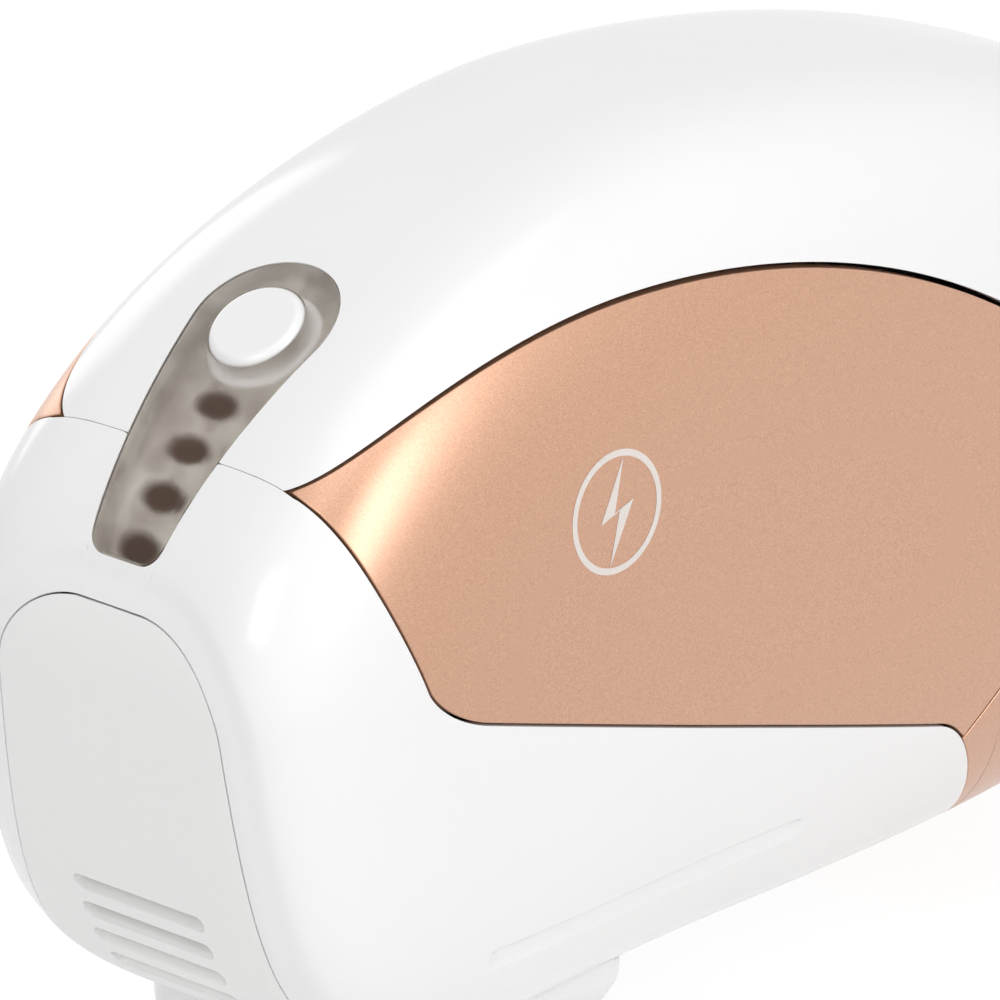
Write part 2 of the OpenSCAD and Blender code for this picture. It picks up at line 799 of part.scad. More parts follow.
module lamp_holders() {
    block_w = 10;
    stem_w = 6;
    color("linen") place() difference() {
        for (x = [holder_front_x, holder_rear_x]) {
            box([x, -block_w, filter_top_z + fit], [x + holder_t, block_w, lamp_z + 6]);
            box([x, -stem_w, lamp_z], [x + holder_t, stem_w, plate_z]);
        }
        along_x(holder_front_x - 1, head_len, lamp_r + 0.05, z = lamp_z);
    }
}

module filter_glass() {
    filter_w = 9.6;
    color("#C98F3C") place() box([holder_front_x, -filter_w, filter_top_z - filter_t],
        [holder_rear_x + holder_t, filter_w, filter_top_z]);
}

module treatment_head() {
    collar_r = 5;
    pocket = [window_len + 2 * window_ledge, window_w + 2 * window_ledge];
    color(white) place() translate([head_x, 0, 0]) difference() {
        union() {
            translate([0, 0, head_face_z]) linear_extrude(face_h)
                rounded_plan(head_len - 2 * head_step, head_w - 2 * head_step, collar_r - 1);
            translate([0, 0, head_collar_z]) linear_extrude(head_top_z - head_collar_z)
                rounded_plan(head_len, head_w, collar_r);
            translate([0, 0, head_top_z - 0.5]) linear_extrude(skirt_h + 0.5) difference() {
                rounded_plan(head_len, head_w, collar_r);
                rounded_plan(head_len - 2 * skirt_t, head_w - 2 * skirt_t, collar_r - skirt_t);
            }
        }
        translate([0, 0, head_face_z]) cube([window_len, window_w, 40], center = true);
        translate([-pocket[0] / 2, -pocket[1] / 2, head_face_z + window_ledge]) cube([pocket[0], pocket[1], 40]);
        for (p = contact_places)
            translate([p[0] - head_x, p[1], head_face_z - 1]) cylinder(r = contact_r, h = 3);
    }
}

module window_glass() {
    play = 0.1;
    size = [window_len + 2 * window_ledge - 2 * play, window_w + 2 * window_ledge - 2 * play, window_t];
    color(glass) place() translate([head_x - size[0] / 2, -size[1] / 2, head_face_z + window_ledge]) cube(size);
}

module skin_contacts() {
    color(metal) place() for (p = contact_places)
        translate([p[0], p[1], -ground_z]) cylinder(r = contact_r, h = contact_proud + 2);
}

module power_jack() {
    socket_r = 2.8;
    back_t = 2;
    color(dark) place() difference() {
        along_x(jack_back_x, jack_mouth_x - jack_back_x, jack_r, z = jack_z);
        along_x(jack_mouth_x - inlet_depth, inlet_depth + 1, inlet_r, z = jack_z);
        along_x(jack_back_x + back_t, jack_mouth_x - jack_back_x, socket_r, z = jack_z);
        along_x(jack_back_x - 1, 10, inlet_pin_r, z = jack_z);
    }
}

module jack_pin() {
    tail = 2;
    short = 0.4;
    length = jack_mouth_x - inlet_depth - short - jack_back_x + tail;
    color(metal) place() along_x(jack_back_x - tail, length, inlet_pin_r, z = jack_z);
}

module casing_screws() {
    shank = 10;
    color(metal) place() for (p = screw_places)
        translate([p[0], p[1], floor_z(p[0], p[1], 0) + screw_sunk]) {
            cylinder(r = screw_head_r, h = screw_head_h - screw_sunk);
            cylinder(r = screw_r, h = shank);
        }
}

upper_shell();
lower_casing();
front_vent_cap();
grip_cover();
flash_panel_left();
flash_panel_right();
panel_carrier_left();
panel_carrier_right();
panel_pivot_pins();
flash_switch_left();
flash_switch_right();
indicator_lens();
light_guide();
mode_button();
mode_switch();
led_board();
status_leds();
fan_housing();
fan_motor();
fan_rotor();
chassis();
main_board();
control_chips();
trigger_transformer();
charge_coil();
storage_capacitor();
heat_sink();
lamp_reflector();
flash_lamp();
lamp_electrodes();
lamp_holders();
filter_glass();
treatment_head();
window_glass();
skin_contacts();
power_jack();
jack_pin();
casing_screws();
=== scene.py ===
"""Looks of a handheld pulsed-light hair remover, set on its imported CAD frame.

The housing's skin is one closed formula. Every cover is a grid of points on that skin between two of the
seams, with a rounded edge and a lip turned in. Shapes are worked out in millimetres about the body's centre,
with the nose to -X and the tail to +X, and are put into the frame's metres when the mesh is made.
"""
import math

import bpy
import numpy as np
from mathutils import Matrix, Vector


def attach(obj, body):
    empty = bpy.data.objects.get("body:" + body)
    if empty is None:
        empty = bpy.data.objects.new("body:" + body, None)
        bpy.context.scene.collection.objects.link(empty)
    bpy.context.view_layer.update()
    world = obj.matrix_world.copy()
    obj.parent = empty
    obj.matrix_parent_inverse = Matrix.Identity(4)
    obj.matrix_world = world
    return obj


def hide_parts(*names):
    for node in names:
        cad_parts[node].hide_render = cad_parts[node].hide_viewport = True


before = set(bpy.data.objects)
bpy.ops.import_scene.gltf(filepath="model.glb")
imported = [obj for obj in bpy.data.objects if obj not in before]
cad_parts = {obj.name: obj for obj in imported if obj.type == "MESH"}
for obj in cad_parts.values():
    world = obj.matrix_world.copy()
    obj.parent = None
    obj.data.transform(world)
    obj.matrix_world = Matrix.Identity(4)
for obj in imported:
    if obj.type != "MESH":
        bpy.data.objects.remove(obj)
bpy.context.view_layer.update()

# The housing's form, in millimetres
FRONT_LEN, REAR_LEN = 63.5, 86.2
TOP_H, BELLY_H, HALF_W = 40.6, 38.4, 23.4
DOME_ROUND, NOSE_SQUARE, TAIL_SQUARE = 1.8, 5.0, 3.2
SIDE_SQUARE, NOSE_EXTRA = 3.4, 3.0
SETBACK, SETBACK_Z, SETBACK_H = 5.3, 15.0, 40.0
NOSE_TIP_Z = 3.0
HEAD_DROP = 7.1
WALL, FIT = 2.0, 0.3
METRE = 1000.0

# Seams in the side view
PANEL_TOP = np.array([-17.2, 29.1])
PANEL_FRONT_R, PANEL_REAR_R = 70.0, 92.0
SHELL_SEAM_X = -53.2
PANEL_LOW = np.array([-42.0, -3.0])
PANEL_FALL = 0.298
CASING_TIP_X = 24.6
GRIP_SEAM_RISE = math.radians(41)
LINE_STEP = 0.2

# Stretch of the tail in which the panels' seam runs out on the underside, and where its bend begins
TAIL_X0, TAIL_X1, TAIL_BEND_X = 60.0, 74.0, 62.0

# Gaps from the middle of a seam to the edge of a cover, the rounding of edges, and the lip behind them
PANEL_GAP = 0.2
SHELL_GAP = 0.3
SHELL_GAP_FRONT, SHELL_GAP_RUN = 0.3, 40.0
CASING_GAP = 0.06
LENS_GAP = 0.06
HAIRLINE = 0.004
CAP_GAP = 0.08
EDGE_R = 0.14
FINE_EDGE_R = 0.05
EDGE_STEPS = 5
LIP = 1.6
CREASE_DEG = 50

# Where lips lie along a pressed panel: above the belly, behind the nose or at the front corners, to the side
PRESS_LOW_Z, PRESS_FRONT_X, PRESS_CORNER_Z = -26.0, -51.5, 9.0
PRESS_SIDE_Y, PRESS_BLEND = 8.0, 3.0

# Lens and button on the nose. The lens takes the dome's tilt a little ahead of the button, and the middle of
# its round end lies a little off the button's
BUTTON_X, BUTTON_R, BUTTON_PROUD = -42.7, 4.5, 0.7
BUTTON_GAP, BUTTON_OFF = 0.12, 0.4
LENS_R, LENS_TIP_W, LENS_TIP_R, LENS_LEN = 7.3, 4.2, 2.0, 31.5
LENS_PROUD, LENS_BEVEL, LENS_AHEAD = 0.2, 2.4, 4.6

# Wells of the light guide under the lens, and the painted shade in them: rims, slope and core are counted in
# an oval's half axes
WELL_FIRST, WELL_PITCH, WELL_LONG, WELL_WIDE, WELL_COUNT = -13.4, 4.6, 1.4, 2.5, 4
WELL_DEEP, WELL_RIM, WELL_SLOPE = 0.4, 1.2, 0.6
# Painted shade in the wells: it begins at the first reach and is full at the second
WELL_SHADE_RIM, WELL_SHADE_CORE = 1.25, 0.65

# Tray of the light guide
GUIDE_GAP, GUIDE_END_GAP = 0.06, 0.07
GUIDE_RIM, GUIDE_WALL, GUIDE_DEEP = 0.3, 1.5, 2.7

# Vent cap
CAP_TOP_Z, CAP_FOOT_Z = 7.4, -35.0
CAP_TOP_W, CAP_FOOT_W = 13.4, 15.1
CAP_TOP_R, CAP_FOOT_R = 10.0, 5.0
SLOT_COUNT, SLOT_PITCH, SLOT_H, SLOT_LEN, SLOT_TOP_Z, SLOT_DEEP = 4, 2.95, 1.3, 15.4, -21.5, 2.8
SLOT_EDGE, SLOT_MARGIN = 0.28, 1.2

# Soft dish about the vent cap, in front of a place along the nose
DISH_DEEP, DISH_REACH, DISH_SOFT, DISH_X = 0.35, 4.2, 2.4, -40.0

# Eye inside the nose from which the casing's points are seen, and the scale of that view along and across
NOSE_EYE = np.array([-20.0, 0, -13.0])
NOSE_SCALE = np.array([45.0, 25.0])

# Finger groove on the casing's side
GROOVE_Z, GROOVE_X0, GROOVE_X1, GROOVE_W, GROOVE_DEEP = -27.0, -36.8, 4.8, 2.1, 1.8
GROOVE_END, GROOVE_BROW, GROOVE_SIDE_Y = 2.0, 0.3, 10.0

# Treatment head and power inlet
HEAD_X, HEAD_LEN, HEAD_WIDE, HEAD_STEP = -26.6, 35.4, 29.2, 3.0
HEAD_GAP, HEAD_CORNER, HEAD_ROUND = 0.3, 5.0, 0.8
SKIRT_H, SKIRT_T = 2.0, 1.2
WINDOW_LEN, WINDOW_W, WINDOW_LEDGE = 23.0, 12.0, 1.1
JACK_HOLE_R = 5.5
CONTACT_PROUD = 0.8
SCREWS = [(-5.0, 8.0), (-5.0, -8.0), (50.0, 6.0), (50.0, -6.0)]
SCREW_HOLE_R = 2.5
UNDERSIDE_Z = -20.0

# Flash mark on the panels: its place in the side view, its ring, and the corners of its bolt
MARK = np.array([-21.9, 11.1])
MARK_R, MARK_STROKE, PRINT_LIFT = 5.65, 0.62, 0.02
BOLT = [(1.0, 4.95), (-2.1, -0.75), (0.35, 0.2), (-1.0, -4.95), (2.1, 0.75), (-0.35, -0.2)]

GROUND_Z = BELLY_H + HEAD_DROP


# The skin
def setback(x, z):
    """The nose's foot is set back by a power of the depth below a height, fading out towards mid-length."""
    deep = np.clip((SETBACK_Z - z) / SETBACK_H, 0, None)
    return np.where(x < 0, SETBACK * deep ** 1.5 * (x / FRONT_LEN) ** 2, 0.0)


ORIGIN_X = (REAR_LEN - FRONT_LEN + float(setback(-FRONT_LEN, NOSE_TIP_Z))) / 2


def to_frame(points):
    """Places in millimetres about the body's centre as places in the frame, in metres."""
    return (points + [-ORIGIN_X, 0, GROUND_Z]) / METRE


def unit(vectors):
    """Vectors brought to a length of 1."""
    return vectors / np.maximum(np.linalg.norm(vectors, axis=-1, keepdims=True), 1e-12)


def side_view(x, z):
    """Share r of the way from the centre to the side outline, which is a superellipse with its own power in
    each quarter, and the squareness n across the width at that place. A few rounds undo the set-back."""
    rounds = 10
    plain = x
    for _ in range(rounds):
        plain = x - setback(plain, z)
    a = np.where(plain < 0, FRONT_LEN, REAR_LEN)
    b = np.where(z > 0, TOP_H, BELLY_H)
    p = np.where(z > 0, DOME_ROUND, np.where(plain < 0, NOSE_SQUARE, TAIL_SQUARE))
    r = ((np.abs(plain) / a) ** p + (np.abs(z) / b) ** p) ** (1 / p)
    outer = plain / np.maximum(r, 1e-9)
    n = SIDE_SQUARE + np.where(plain < 0, NOSE_EXTRA * (outer / FRONT_LEN) ** 2, 0.0)
    return r, n


def level(points):
    """Below zero inside the housing, 0 on its skin: r to the n, plus the width's share to the n, less 1."""
    r, n = side_view(points[..., 0], points[..., 2])
    return r ** n + (np.abs(points[..., 1]) / HALF_W) ** n - 1


def half_width(x, z):
    """Half of the skin's width at a place of the side view, 0 outside the outline."""
    r, n = side_view(np.asarray(x, float), np.asarray(z, float))
    return HALF_W * np.clip(1 - r ** n, 0, None) ** (1 / n)


def outward(points):
    """Unit normal of the skin: the slope of its level, by differences over a small step."""
    step = 0.02
    slope = np.stack([level(points + step * e) - level(points - step * e) for e in np.eye(3)], -1)
    return unit(slope)


def meet_skin(start, way):
    """Where rays from points inside the housing pass its skin, found by halving."""
    longest, halvings = 200.0, 44
    start, way = np.broadcast_arrays(np.asarray(start, float), np.asarray(way, float))
    near = np.zeros(start.shape[:-1])
    away = np.full(start.shape[:-1], longest)
    for _ in range(halvings):
        half = (near + away) / 2
        inside = level(start + half[..., None] * way) < 0
        near = np.where(inside, half, near)
        away = np.where(inside, away, half)
    return start + near[..., None] * way


def round_section(x, turn):
    """Skin point in the cross-section at x, in the direction turned from straight up towards +Y."""
    x, turn = np.broadcast_arrays(np.asarray(x, float), np.asarray(turn, float))
    zero = np.zeros_like(x)
    return meet_skin(np.stack([x, zero, zero], -1), np.stack([zero, np.sin(turn), np.cos(turn)], -1))


def turn_at(x, z):
    """Direction, from straight up, of the skin point at a place of the side view."""
    wide = half_width(x, z)
    pole = np.where(np.asarray(z) > 0, 0.0, np.pi)
    return np.where(wide > 0, np.arctan2(wide, z), pole)


# Curves
def smooth(t):
    """Soft step from 0 to 1."""
    t = np.clip(t, 0, 1)
    return t * t * (3 - 2 * t)


def curve(points, steps=60):
    """Cubic curve of four control points."""
    u = np.linspace(0, 1, steps)[:, None]
    v = 1 - u
    a, b, c, d = [np.asarray(q, float) for q in points]
    return v ** 3 * a + 3 * v * v * u * b + 3 * v * u * u * c + u ** 3 * d


def even(line, step):
    """A line of points spread again at an even step along its length."""
    run = np.concatenate([[0], np.cumsum(np.linalg.norm(np.diff(line, axis=0), axis=1))])
    at = np.linspace(0, run[-1], max(2, int(math.ceil(run[-1] / step)) + 1))
    return np.stack([np.interp(at, run, line[:, i]) for i in range(line.shape[1])], -1)


def seen_from_side(place, run):
    """Share of a step on the skin, square to a line's run, that the side view shows, by the skin's normal."""
    least = 0.2
    x, z = place[..., 0], place[..., 1]
    n = outward(np.stack([x, half_width(x, z), z], -1))
    return np.clip(np.hypot(n[..., 1], n[..., 0] * run[..., 0] + n[..., 2] * run[..., 1]), least, 1)


def beside(line, distance):
    """A line of the side view moved by a distance on the skin, to the left of its run."""
    run = unit(np.gradient(line, axis=0))
    step = distance * seen_from_side(line, run)
    return line + step[:, None] * np.stack([-run[:, 1], run[:, 0]], -1)


def taut(circles, grow=0.0, step=0.3):
    """Outline of a string drawn round circles (u, w, radius): the outermost circle in every direction."""
    a = np.linspace(-np.pi, np.pi, 1441)
    way = np.stack([np.cos(a), np.sin(a)], -1)
    c = np.asarray(circles, float)
    best = np.argmax(way @ c[:, :2].T + c[:, 2], axis=1)
    return even(c[best, :2] + (c[best, 2:] + grow) * way, step)


def top_edge(x, grow):
    """Height of the panel's upper seam over x: two arcs that meet at the top, raised on the skin by grow."""
    x = np.asarray(x, float)
    r = np.where(x < PANEL_TOP[0], PANEL_FRONT_R, PANEL_REAR_R)
    along = x - PANEL_TOP[0]
    rise = np.sqrt(np.clip(r ** 2 - along ** 2, 0, None))
    place = np.stack([x, PANEL_TOP[1] - r + rise], -1)
    step = grow * seen_from_side(place, np.stack([rise / r, -along / r], -1))
    return PANEL_TOP[1] - r + np.sqrt(np.clip((r + step) ** 2 - along ** 2, 0, None))


def shell_gap(x):
    """The gap above the panel opens from the front corner towards the middle."""
    opened = smooth((x - SHELL_SEAM_X) / SHELL_GAP_RUN)
    return SHELL_GAP * (SHELL_GAP_FRONT + (1 - SHELL_GAP_FRONT) * opened)


# The seams' corners, and the curves between them by offsets from the corners
panel_corner = np.array([SHELL_SEAM_X, float(top_edge(SHELL_SEAM_X, 0.0))])
casing_tip = np.array([CASING_TIP_X, PANEL_LOW[1] - PANEL_FALL * (CASING_TIP_X - PANEL_LOW[0])])
low_start = PANEL_LOW + [-3.2, 3.7]
front_edge = curve([panel_corner, panel_corner + [1.4, -6], PANEL_LOW + [-5, 8.1], low_start])
low_corner = curve([low_start, PANEL_LOW + [-2.4, 2.2], PANEL_LOW, PANEL_LOW + [4, -4 * PANEL_FALL]])
tip_edge = curve([casing_tip + [-2, 2 * PANEL_FALL], casing_tip + [1.6, -0.6], casing_tip + [3.6, -4.5],
                  casing_tip + [6, -11]], 81)
casing_end = casing_tip + [7.5, -18]

# The grip seam leaves the tip's edge at one of its points and runs on until it meets the panel's upper seam
GRIP_AT = 30
GRIP_LONGEST = 60
grip_corner = tip_edge[GRIP_AT]
grip_way = np.array([math.cos(GRIP_SEAM_RISE), math.sin(GRIP_SEAM_RISE)])
grip_reach = np.linspace(0, GRIP_LONGEST, 6001)[:, None] * grip_way + grip_corner
grip_end = grip_reach[np.argmax(grip_reach[:, 1] > top_edge(grip_reach[:, 0], 0.0))]

low_edge = np.concatenate([front_edge, low_corner[1:]])
panel_low_line = even(np.concatenate([low_edge, tip_edge[:GRIP_AT], [grip_corner, grip_end]]), LINE_STEP)
casing_line = even(np.concatenate([low_edge, tip_edge, [casing_end]]), LINE_STEP)
tip_line = even(np.concatenate([tip_edge[GRIP_AT:], [casing_end]]), LINE_STEP)


def dome_z(x):
    """Height of the dome's outline in front of the centre."""
    return TOP_H * (1 - (abs(x) / FRONT_LEN) ** DOME_ROUND) ** (1 / DOME_ROUND)


def dome_tilt(x):
    """Tilt of the dome's outline, from level towards the nose."""
    q = DOME_ROUND
    return math.atan2(abs(x) ** (q - 1) / FRONT_LEN ** q, dome_z(x) ** (q - 1) / TOP_H ** q)


button_at = np.array([BUTTON_X, 0, dome_z(BUTTON_X)])
button_tilt = dome_tilt(BUTTON_X)
lens_tilt = dome_tilt(BUTTON_X - LENS_AHEAD)
lens_round_x = BUTTON_X + LENS_R - BUTTON_OFF
lens_u = np.array([math.cos(lens_tilt), 0, math.sin(lens_tilt)])
lens_n = np.array([-math.sin(lens_tilt), 0, math.cos(lens_tilt)])
lens_mid = np.array([lens_round_x, 0, dome_z(lens_round_x)]) - LENS_LEN / 2 * lens_u
LENS_CIRCLES = [(LENS_LEN / 2 - LENS_R, 0, LENS_R)] + [
    (LENS_TIP_R - LENS_LEN / 2, side * (LENS_TIP_W - LENS_TIP_R), LENS_TIP_R) for side in (-1, 1)]
CAP_CIRCLES = [(side * (w - r), z + (r if z < 0 else -r), r) for side in (-1, 1)
               for w, z, r in ((CAP_TOP_W, CAP_TOP_Z, CAP_TOP_R), (CAP_FOOT_W, CAP_FOOT_Z, CAP_FOOT_R))]


def on_lens(u, w, sink=0.0):
    """Skin point over a place (u, w) of the lens's own plane, sunk along the plane's normal."""
    u, w = np.broadcast_arrays(np.asarray(u, float), np.asarray(w, float))
    deep = 16.0
    start = lens_mid + u[..., None] * lens_u + w[..., None] * np.array([0, 1, 0]) - deep * lens_n
    return meet_skin(start, lens_n) - np.asarray(sink)[..., None] * lens_n


def on_nose(y, z):
    """Skin point of the nose's front over a place (y, z) of the front view."""
    y, z = np.broadcast_arrays(np.asarray(y, float), np.asarray(z, float))
    return meet_skin(np.stack([np.full_like(y, NOSE_EYE[0]), y, z], -1), np.array([-1.0, 0, 0]))


def on_plan(x, y, way):
    """Skin point over a place of the plan, straight up where way is 1 and down where it is -1."""
    return meet_skin(np.stack([np.full_like(y, x), y, np.zeros_like(y)], -1), np.array([0, 0, way]))


# Meshes
def weld(grids):
    """Points and four-cornered faces of several grids; points that coincide become one."""
    steps_per_mm = 1e4
    points, faces, start = [], [], 0
    for g in grids:
        k = start + np.arange(g.shape[0] * g.shape[1]).reshape(g.shape[:2])
        faces.append(np.stack([k[:-1, :-1], k[1:, :-1], k[1:, 1:], k[:-1, 1:]], -1).reshape(-1, 4))
        points.append(g.reshape(-1, 3))
        start += k.size
    points, faces = np.concatenate(points), np.concatenate(faces)
    place = np.round(points * steps_per_mm).astype(np.int64)
    _, first, back = np.unique(place, axis=0, return_index=True, return_inverse=True)
    return points[first], back.reshape(-1)[faces]


def open_edges(points, faces):
    """Edges that belong to one face only, in that face's direction."""
    e = np.concatenate([faces[:, [i, (i + 1) % 4]] for i in range(4)])
    e = e[e[:, 0] != e[:, 1]]
    key = np.minimum(e[:, 0], e[:, 1]) * len(points) + np.maximum(e[:, 0], e[:, 1])
    _, back, count = np.unique(key, return_inverse=True, return_counts=True)
    return e[count[back.reshape(-1)] == 1]


def lip_way(points, normals):
    """Direction of a lip: straight in from the skin; along the panels' seams square to the middle plane
    instead, so that a panel can be pressed past it."""
    x, y, z = points.T
    seam = (z > PRESS_LOW_Z) & ((x > PRESS_FRONT_X) | (z > PRESS_CORNER_Z))
    share = (smooth((np.abs(y) - PRESS_SIDE_Y) / PRESS_BLEND) * seam)[:, None]
    return unit(share * np.stack([0 * y, -np.sign(y), 0 * y], -1) - (1 - share) * normals)


def turn_in(points, faces, normals, radius, lip):
    """Rolls each open edge over by a quarter round and turns a lip in behind it; normals follow the round."""
    e = open_edges(points, faces)
    away = unit(np.cross(points[e[:, 1]] - points[e[:, 0]], normals[e[:, 0]]))
    out = np.zeros_like(points)
    np.add.at(out, e[:, 0], away)
    np.add.at(out, e[:, 1], away)
    rim = np.unique(e)
    out = unit(out[rim])
    inward = lip_way(points[rim], normals[rim])
    at = np.full(len(points), -1)
    at[rim] = np.arange(len(rim))
    rows, looks, strips, before = [points], [normals], [faces], rim
    quarter = np.linspace(0, np.pi / 2, EDGE_STEPS + 1)[1:]
    bends = [(math.sin(a), 1 - math.cos(a), 0.0) for a in quarter] + [(1.0, 1.0, lip)]
    for i, (go, sink, deep) in enumerate(bends):
        rows.append(points[rim] + radius * (go * out - sink * normals[rim]) + deep * inward)
        looks.append(go * out + (1 - sink) * normals[rim])
        now = len(points) + i * len(rim) + np.arange(len(rim))
        a, b = at[e[:, 0]], at[e[:, 1]]
        strips.append(np.stack([before[b], before[a], now[a], now[b]], -1))
        before = now
    return np.concatenate(rows), np.concatenate(strips), np.concatenate(looks)


def facing(points, faces):
    """Direction in which each face looks: the cross product of its diagonals."""
    a, b, c, d = [points[faces[:, i]] for i in range(4)]
    return np.cross(c - a, d - b)


def face_outward(points, faces, outside):
    """Turns all faces round if, taken together, they look against the directions that lead outside."""
    if np.sum(facing(points, faces) * outside[faces[:, 0]]) < 0:
        return faces[:, ::-1]
    return faces


def punch(points, faces, gap, middle, half, corner):
    """Opens a rounded rectangle in the underside: faces inside it go, points that stay move to its edge."""
    rel = points[:, :2] - middle
    core = np.asarray(half) - corner
    grown = np.asarray(half) + gap
    over = np.abs(rel) - core
    far_out = np.linalg.norm(np.clip(over, 0, None), axis=1) + np.minimum(over.max(axis=1), 0) - corner
    inside = (far_out < gap) & (points[:, 2] < UNDERSIDE_Z)
    faces = faces[~inside[faces].all(axis=1)]
    used = np.zeros(len(points), bool)
    used[faces] = True
    move = inside & used
    rel = rel[move]
    q = np.clip(rel, -core, core)
    way = rel - q
    size = np.linalg.norm(way, axis=1, keepdims=True)
    flat = size[:, 0] < 1e-6
    edge = q + way / np.maximum(size, 1e-6) * (corner + gap)
    side = np.abs(rel) / grown
    wide = side[:, 0] > side[:, 1]
    edge[flat & wide, 0] = np.sign(rel[flat & wide, 0]) * grown[0]
    edge[flat & ~wide, 1] = np.sign(rel[flat & ~wide, 1]) * grown[1]
    points = points.copy()
    points[move, :2] = middle + edge
    return points, faces


def mesh_piece(name, points, faces, finish, body, nodes=(), crease=None, normals=None):
    """A mesh object from points in millimetres about the body's centre, set on its CAD body. Faces with two
    corners in one place become triangles. Where the formula's own normals are given, it is shaded by them."""
    threes = []
    for i in range(4):
        same = faces[:, i] == faces[:, (i + 1) % 4]
        t = faces[same][:, [(i + 1) % 4, (i + 2) % 4, (i + 3) % 4]]
        threes.append(t[(t[:, 0] != t[:, 1]) & (t[:, 1] != t[:, 2]) & (t[:, 2] != t[:, 0])])
    ring = np.roll(faces, -1, axis=1)
    fours = faces[(faces != ring).all(axis=1)]
    used = np.unique(np.concatenate([fours.reshape(-1)] + [t.reshape(-1) for t in threes]))
    new = np.full(len(points), -1)
    new[used] = np.arange(len(used))
    corners = new[fours].tolist() + new[np.concatenate(threes)].tolist()
    me = bpy.data.meshes.new(name)
    me.from_pydata(to_frame(points[used]).tolist(), [], corners)
    me.shade_smooth()
    if crease:
        me.set_sharp_from_angle(angle=math.radians(crease))
    if normals is not None:
        me.normals_split_custom_set_from_vertices(normals[used].tolist())
    me.materials.append(finish)
    obj = bpy.data.objects.new(name, me)
    bpy.context.scene.collection.objects.link(obj)
    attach(obj, body)
    if nodes:
        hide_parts(*nodes)


def skin_piece(name, grids, finish, body, nodes=(), edge=EDGE_R, sink=None, holes=(), proud=False):
    """A cover: grids on the skin, welded, opened for holes, sunk where a groove lies, with its edges turned
    in. It takes the skin's normals unless it is sunk or stands proud."""
    points, faces = weld(grids)
    normals = outward(points)
    faces = face_outward(points, faces, normals)
    for gap, middle, half, corner in holes:
        points, faces = punch(points, faces, gap, np.asarray(middle), half, corner)
    if sink is not None:
        points = points - sink(points)[:, None] * normals
    points, faces, normals = turn_in(points, faces, normals, edge, LIP)
    mesh_piece(name, points, faces, finish, body, nodes, normals=None if sink or proud else normals)


def both_sides(grid):
    """A grid on the +Y side and its mirror."""
    return [grid, (grid * [1, -1, 1])[::-1]]


def screw_holes(places, edge):
    """Openings for casing screws: the gap, middle, half sizes and corner of each."""
    return [(edge, place, (SCREW_HOLE_R, SCREW_HOLE_R), SCREW_HOLE_R) for place in places]


# Materials
RELIEF_MM = 0.1


def rgb(code):
    """Linear colour of an sRGB hex value."""
    c = np.array([int(code[i:i + 2], 16) for i in (1, 3, 5)]) / 255
    c = np.where(c <= 0.04045, c / 12.92, ((c + 0.055) / 1.055) ** 2.4)
    return (*c.tolist(), 1.0)


def add(tree, kind, links=None, **settings):
    """Adds a node with its settings. A link is socket: (node, output); a plain value sets the socket."""
    n = tree.nodes.new(kind)
    for key, value in settings.items():
        setattr(n, key, value)
    for socket, value in (links or {}).items():
        if isinstance(value, tuple) and len(value) == 2 and hasattr(value[0], "outputs"):
            tree.links.new(value[0].outputs[value[1]], n.inputs[socket])
        else:
            n.inputs[socket].default_value = value
    return n


def material(name):
    """A material without nodes, and its node tree."""
    m = bpy.data.materials.new(name)
    m.use_nodes = True
    m.node_tree.nodes.clear()
    return m, m.node_tree


def moulded(name, colour, shade, rough, grain_mm, bump=0.02, **sockets):
    """Solid finish whose colour drifts between two shades over a grain, with a slight relief of the grain."""
    m, t = material(name)
    where = add(t, "ShaderNodeTexCoord")
    scale = METRE / grain_mm
    grain = add(t, "ShaderNodeTexNoise", {"Vector": (where, "Object"), "Scale": scale, "Detail": 3.0})
    mix = add(t, "ShaderNodeMix", {"Factor": (grain, "Fac")}, data_type="RGBA")
    mix.inputs[6].default_value = rgb(colour)
    mix.inputs[7].default_value = rgb(shade)
    relief = add(t, "ShaderNodeBump", {"Height": (grain, "Fac"), "Strength": bump,
                                       "Distance": RELIEF_MM / METRE})
    links = {"Base Color": (mix, 2), "Roughness": rough, "Normal": (relief, "Normal")}
    links.update({key.replace("_", " "): value for key, value in sockets.items()})
    shader = add(t, "ShaderNodeBsdfPrincipled", links)
    add(t, "ShaderNodeOutputMaterial", {"Surface": (shader, "BSDF")})
    return m


# Polished injection-moulded ABS: bright white under a glassy gloss
white_abs = moulded("white_polished_abs", "#F6F6F6", "#F4F4F4", 0.22, 30, 0.0,
                    Coat_Weight=0.25, Coat_Roughness=0.12)
# The same ABS from a finely etched tool: a touch greyer and softer
cap_abs = moulded("grey_white_satin_abs", "#F6F6F5", "#F3F3F2", 0.38, 0.5, 0.02)
# White ABS of the button, silk gloss
button_abs = moulded("white_silk_abs", "#F7F7F7", "#F5F5F5", 0.25, 20, 0.0)
# Black-brown ABS inside the housing, unpolished
dark_abs = moulded("dark_moulded_abs", "#2B2826", "#25221F", 0.5, 1.5, 0.05)
# Dark glass-filled nylon of the chassis: dull, lightly mottled
chassis_nylon = moulded("dark_filled_nylon", "#3F3D3C", "#363433", 0.6, 2.0, 0.05)
# Glass-epoxy board under green solder mask
board_mask = moulded("green_solder_mask", "#1F5A3C", "#184A31", 0.35, 1.2, 0.03)
# Cast epoxy of the status lights: milky
led_resin = moulded("milky_led_resin", "#EFEBDD", "#E6E1D0", 0.3, 1.0, 0.0)
# Turned nickel-plated steel
steel = moulded("nickel_plated_steel", "#C9C9C6", "#BDBDBA", 0.22, 0.4, 0.02, Metallic=1.0)
# Pressed and anodised aluminium
aluminium = moulded("anodised_aluminium", "#C4C6C8", "#B7B9BB", 0.35, 0.3, 0.03, Metallic=1.0)
# Enamelled copper winding
copper = moulded("enamelled_copper_wire", "#B8703C", "#A05E30", 0.3, 0.5, 0.1, Metallic=1.0)
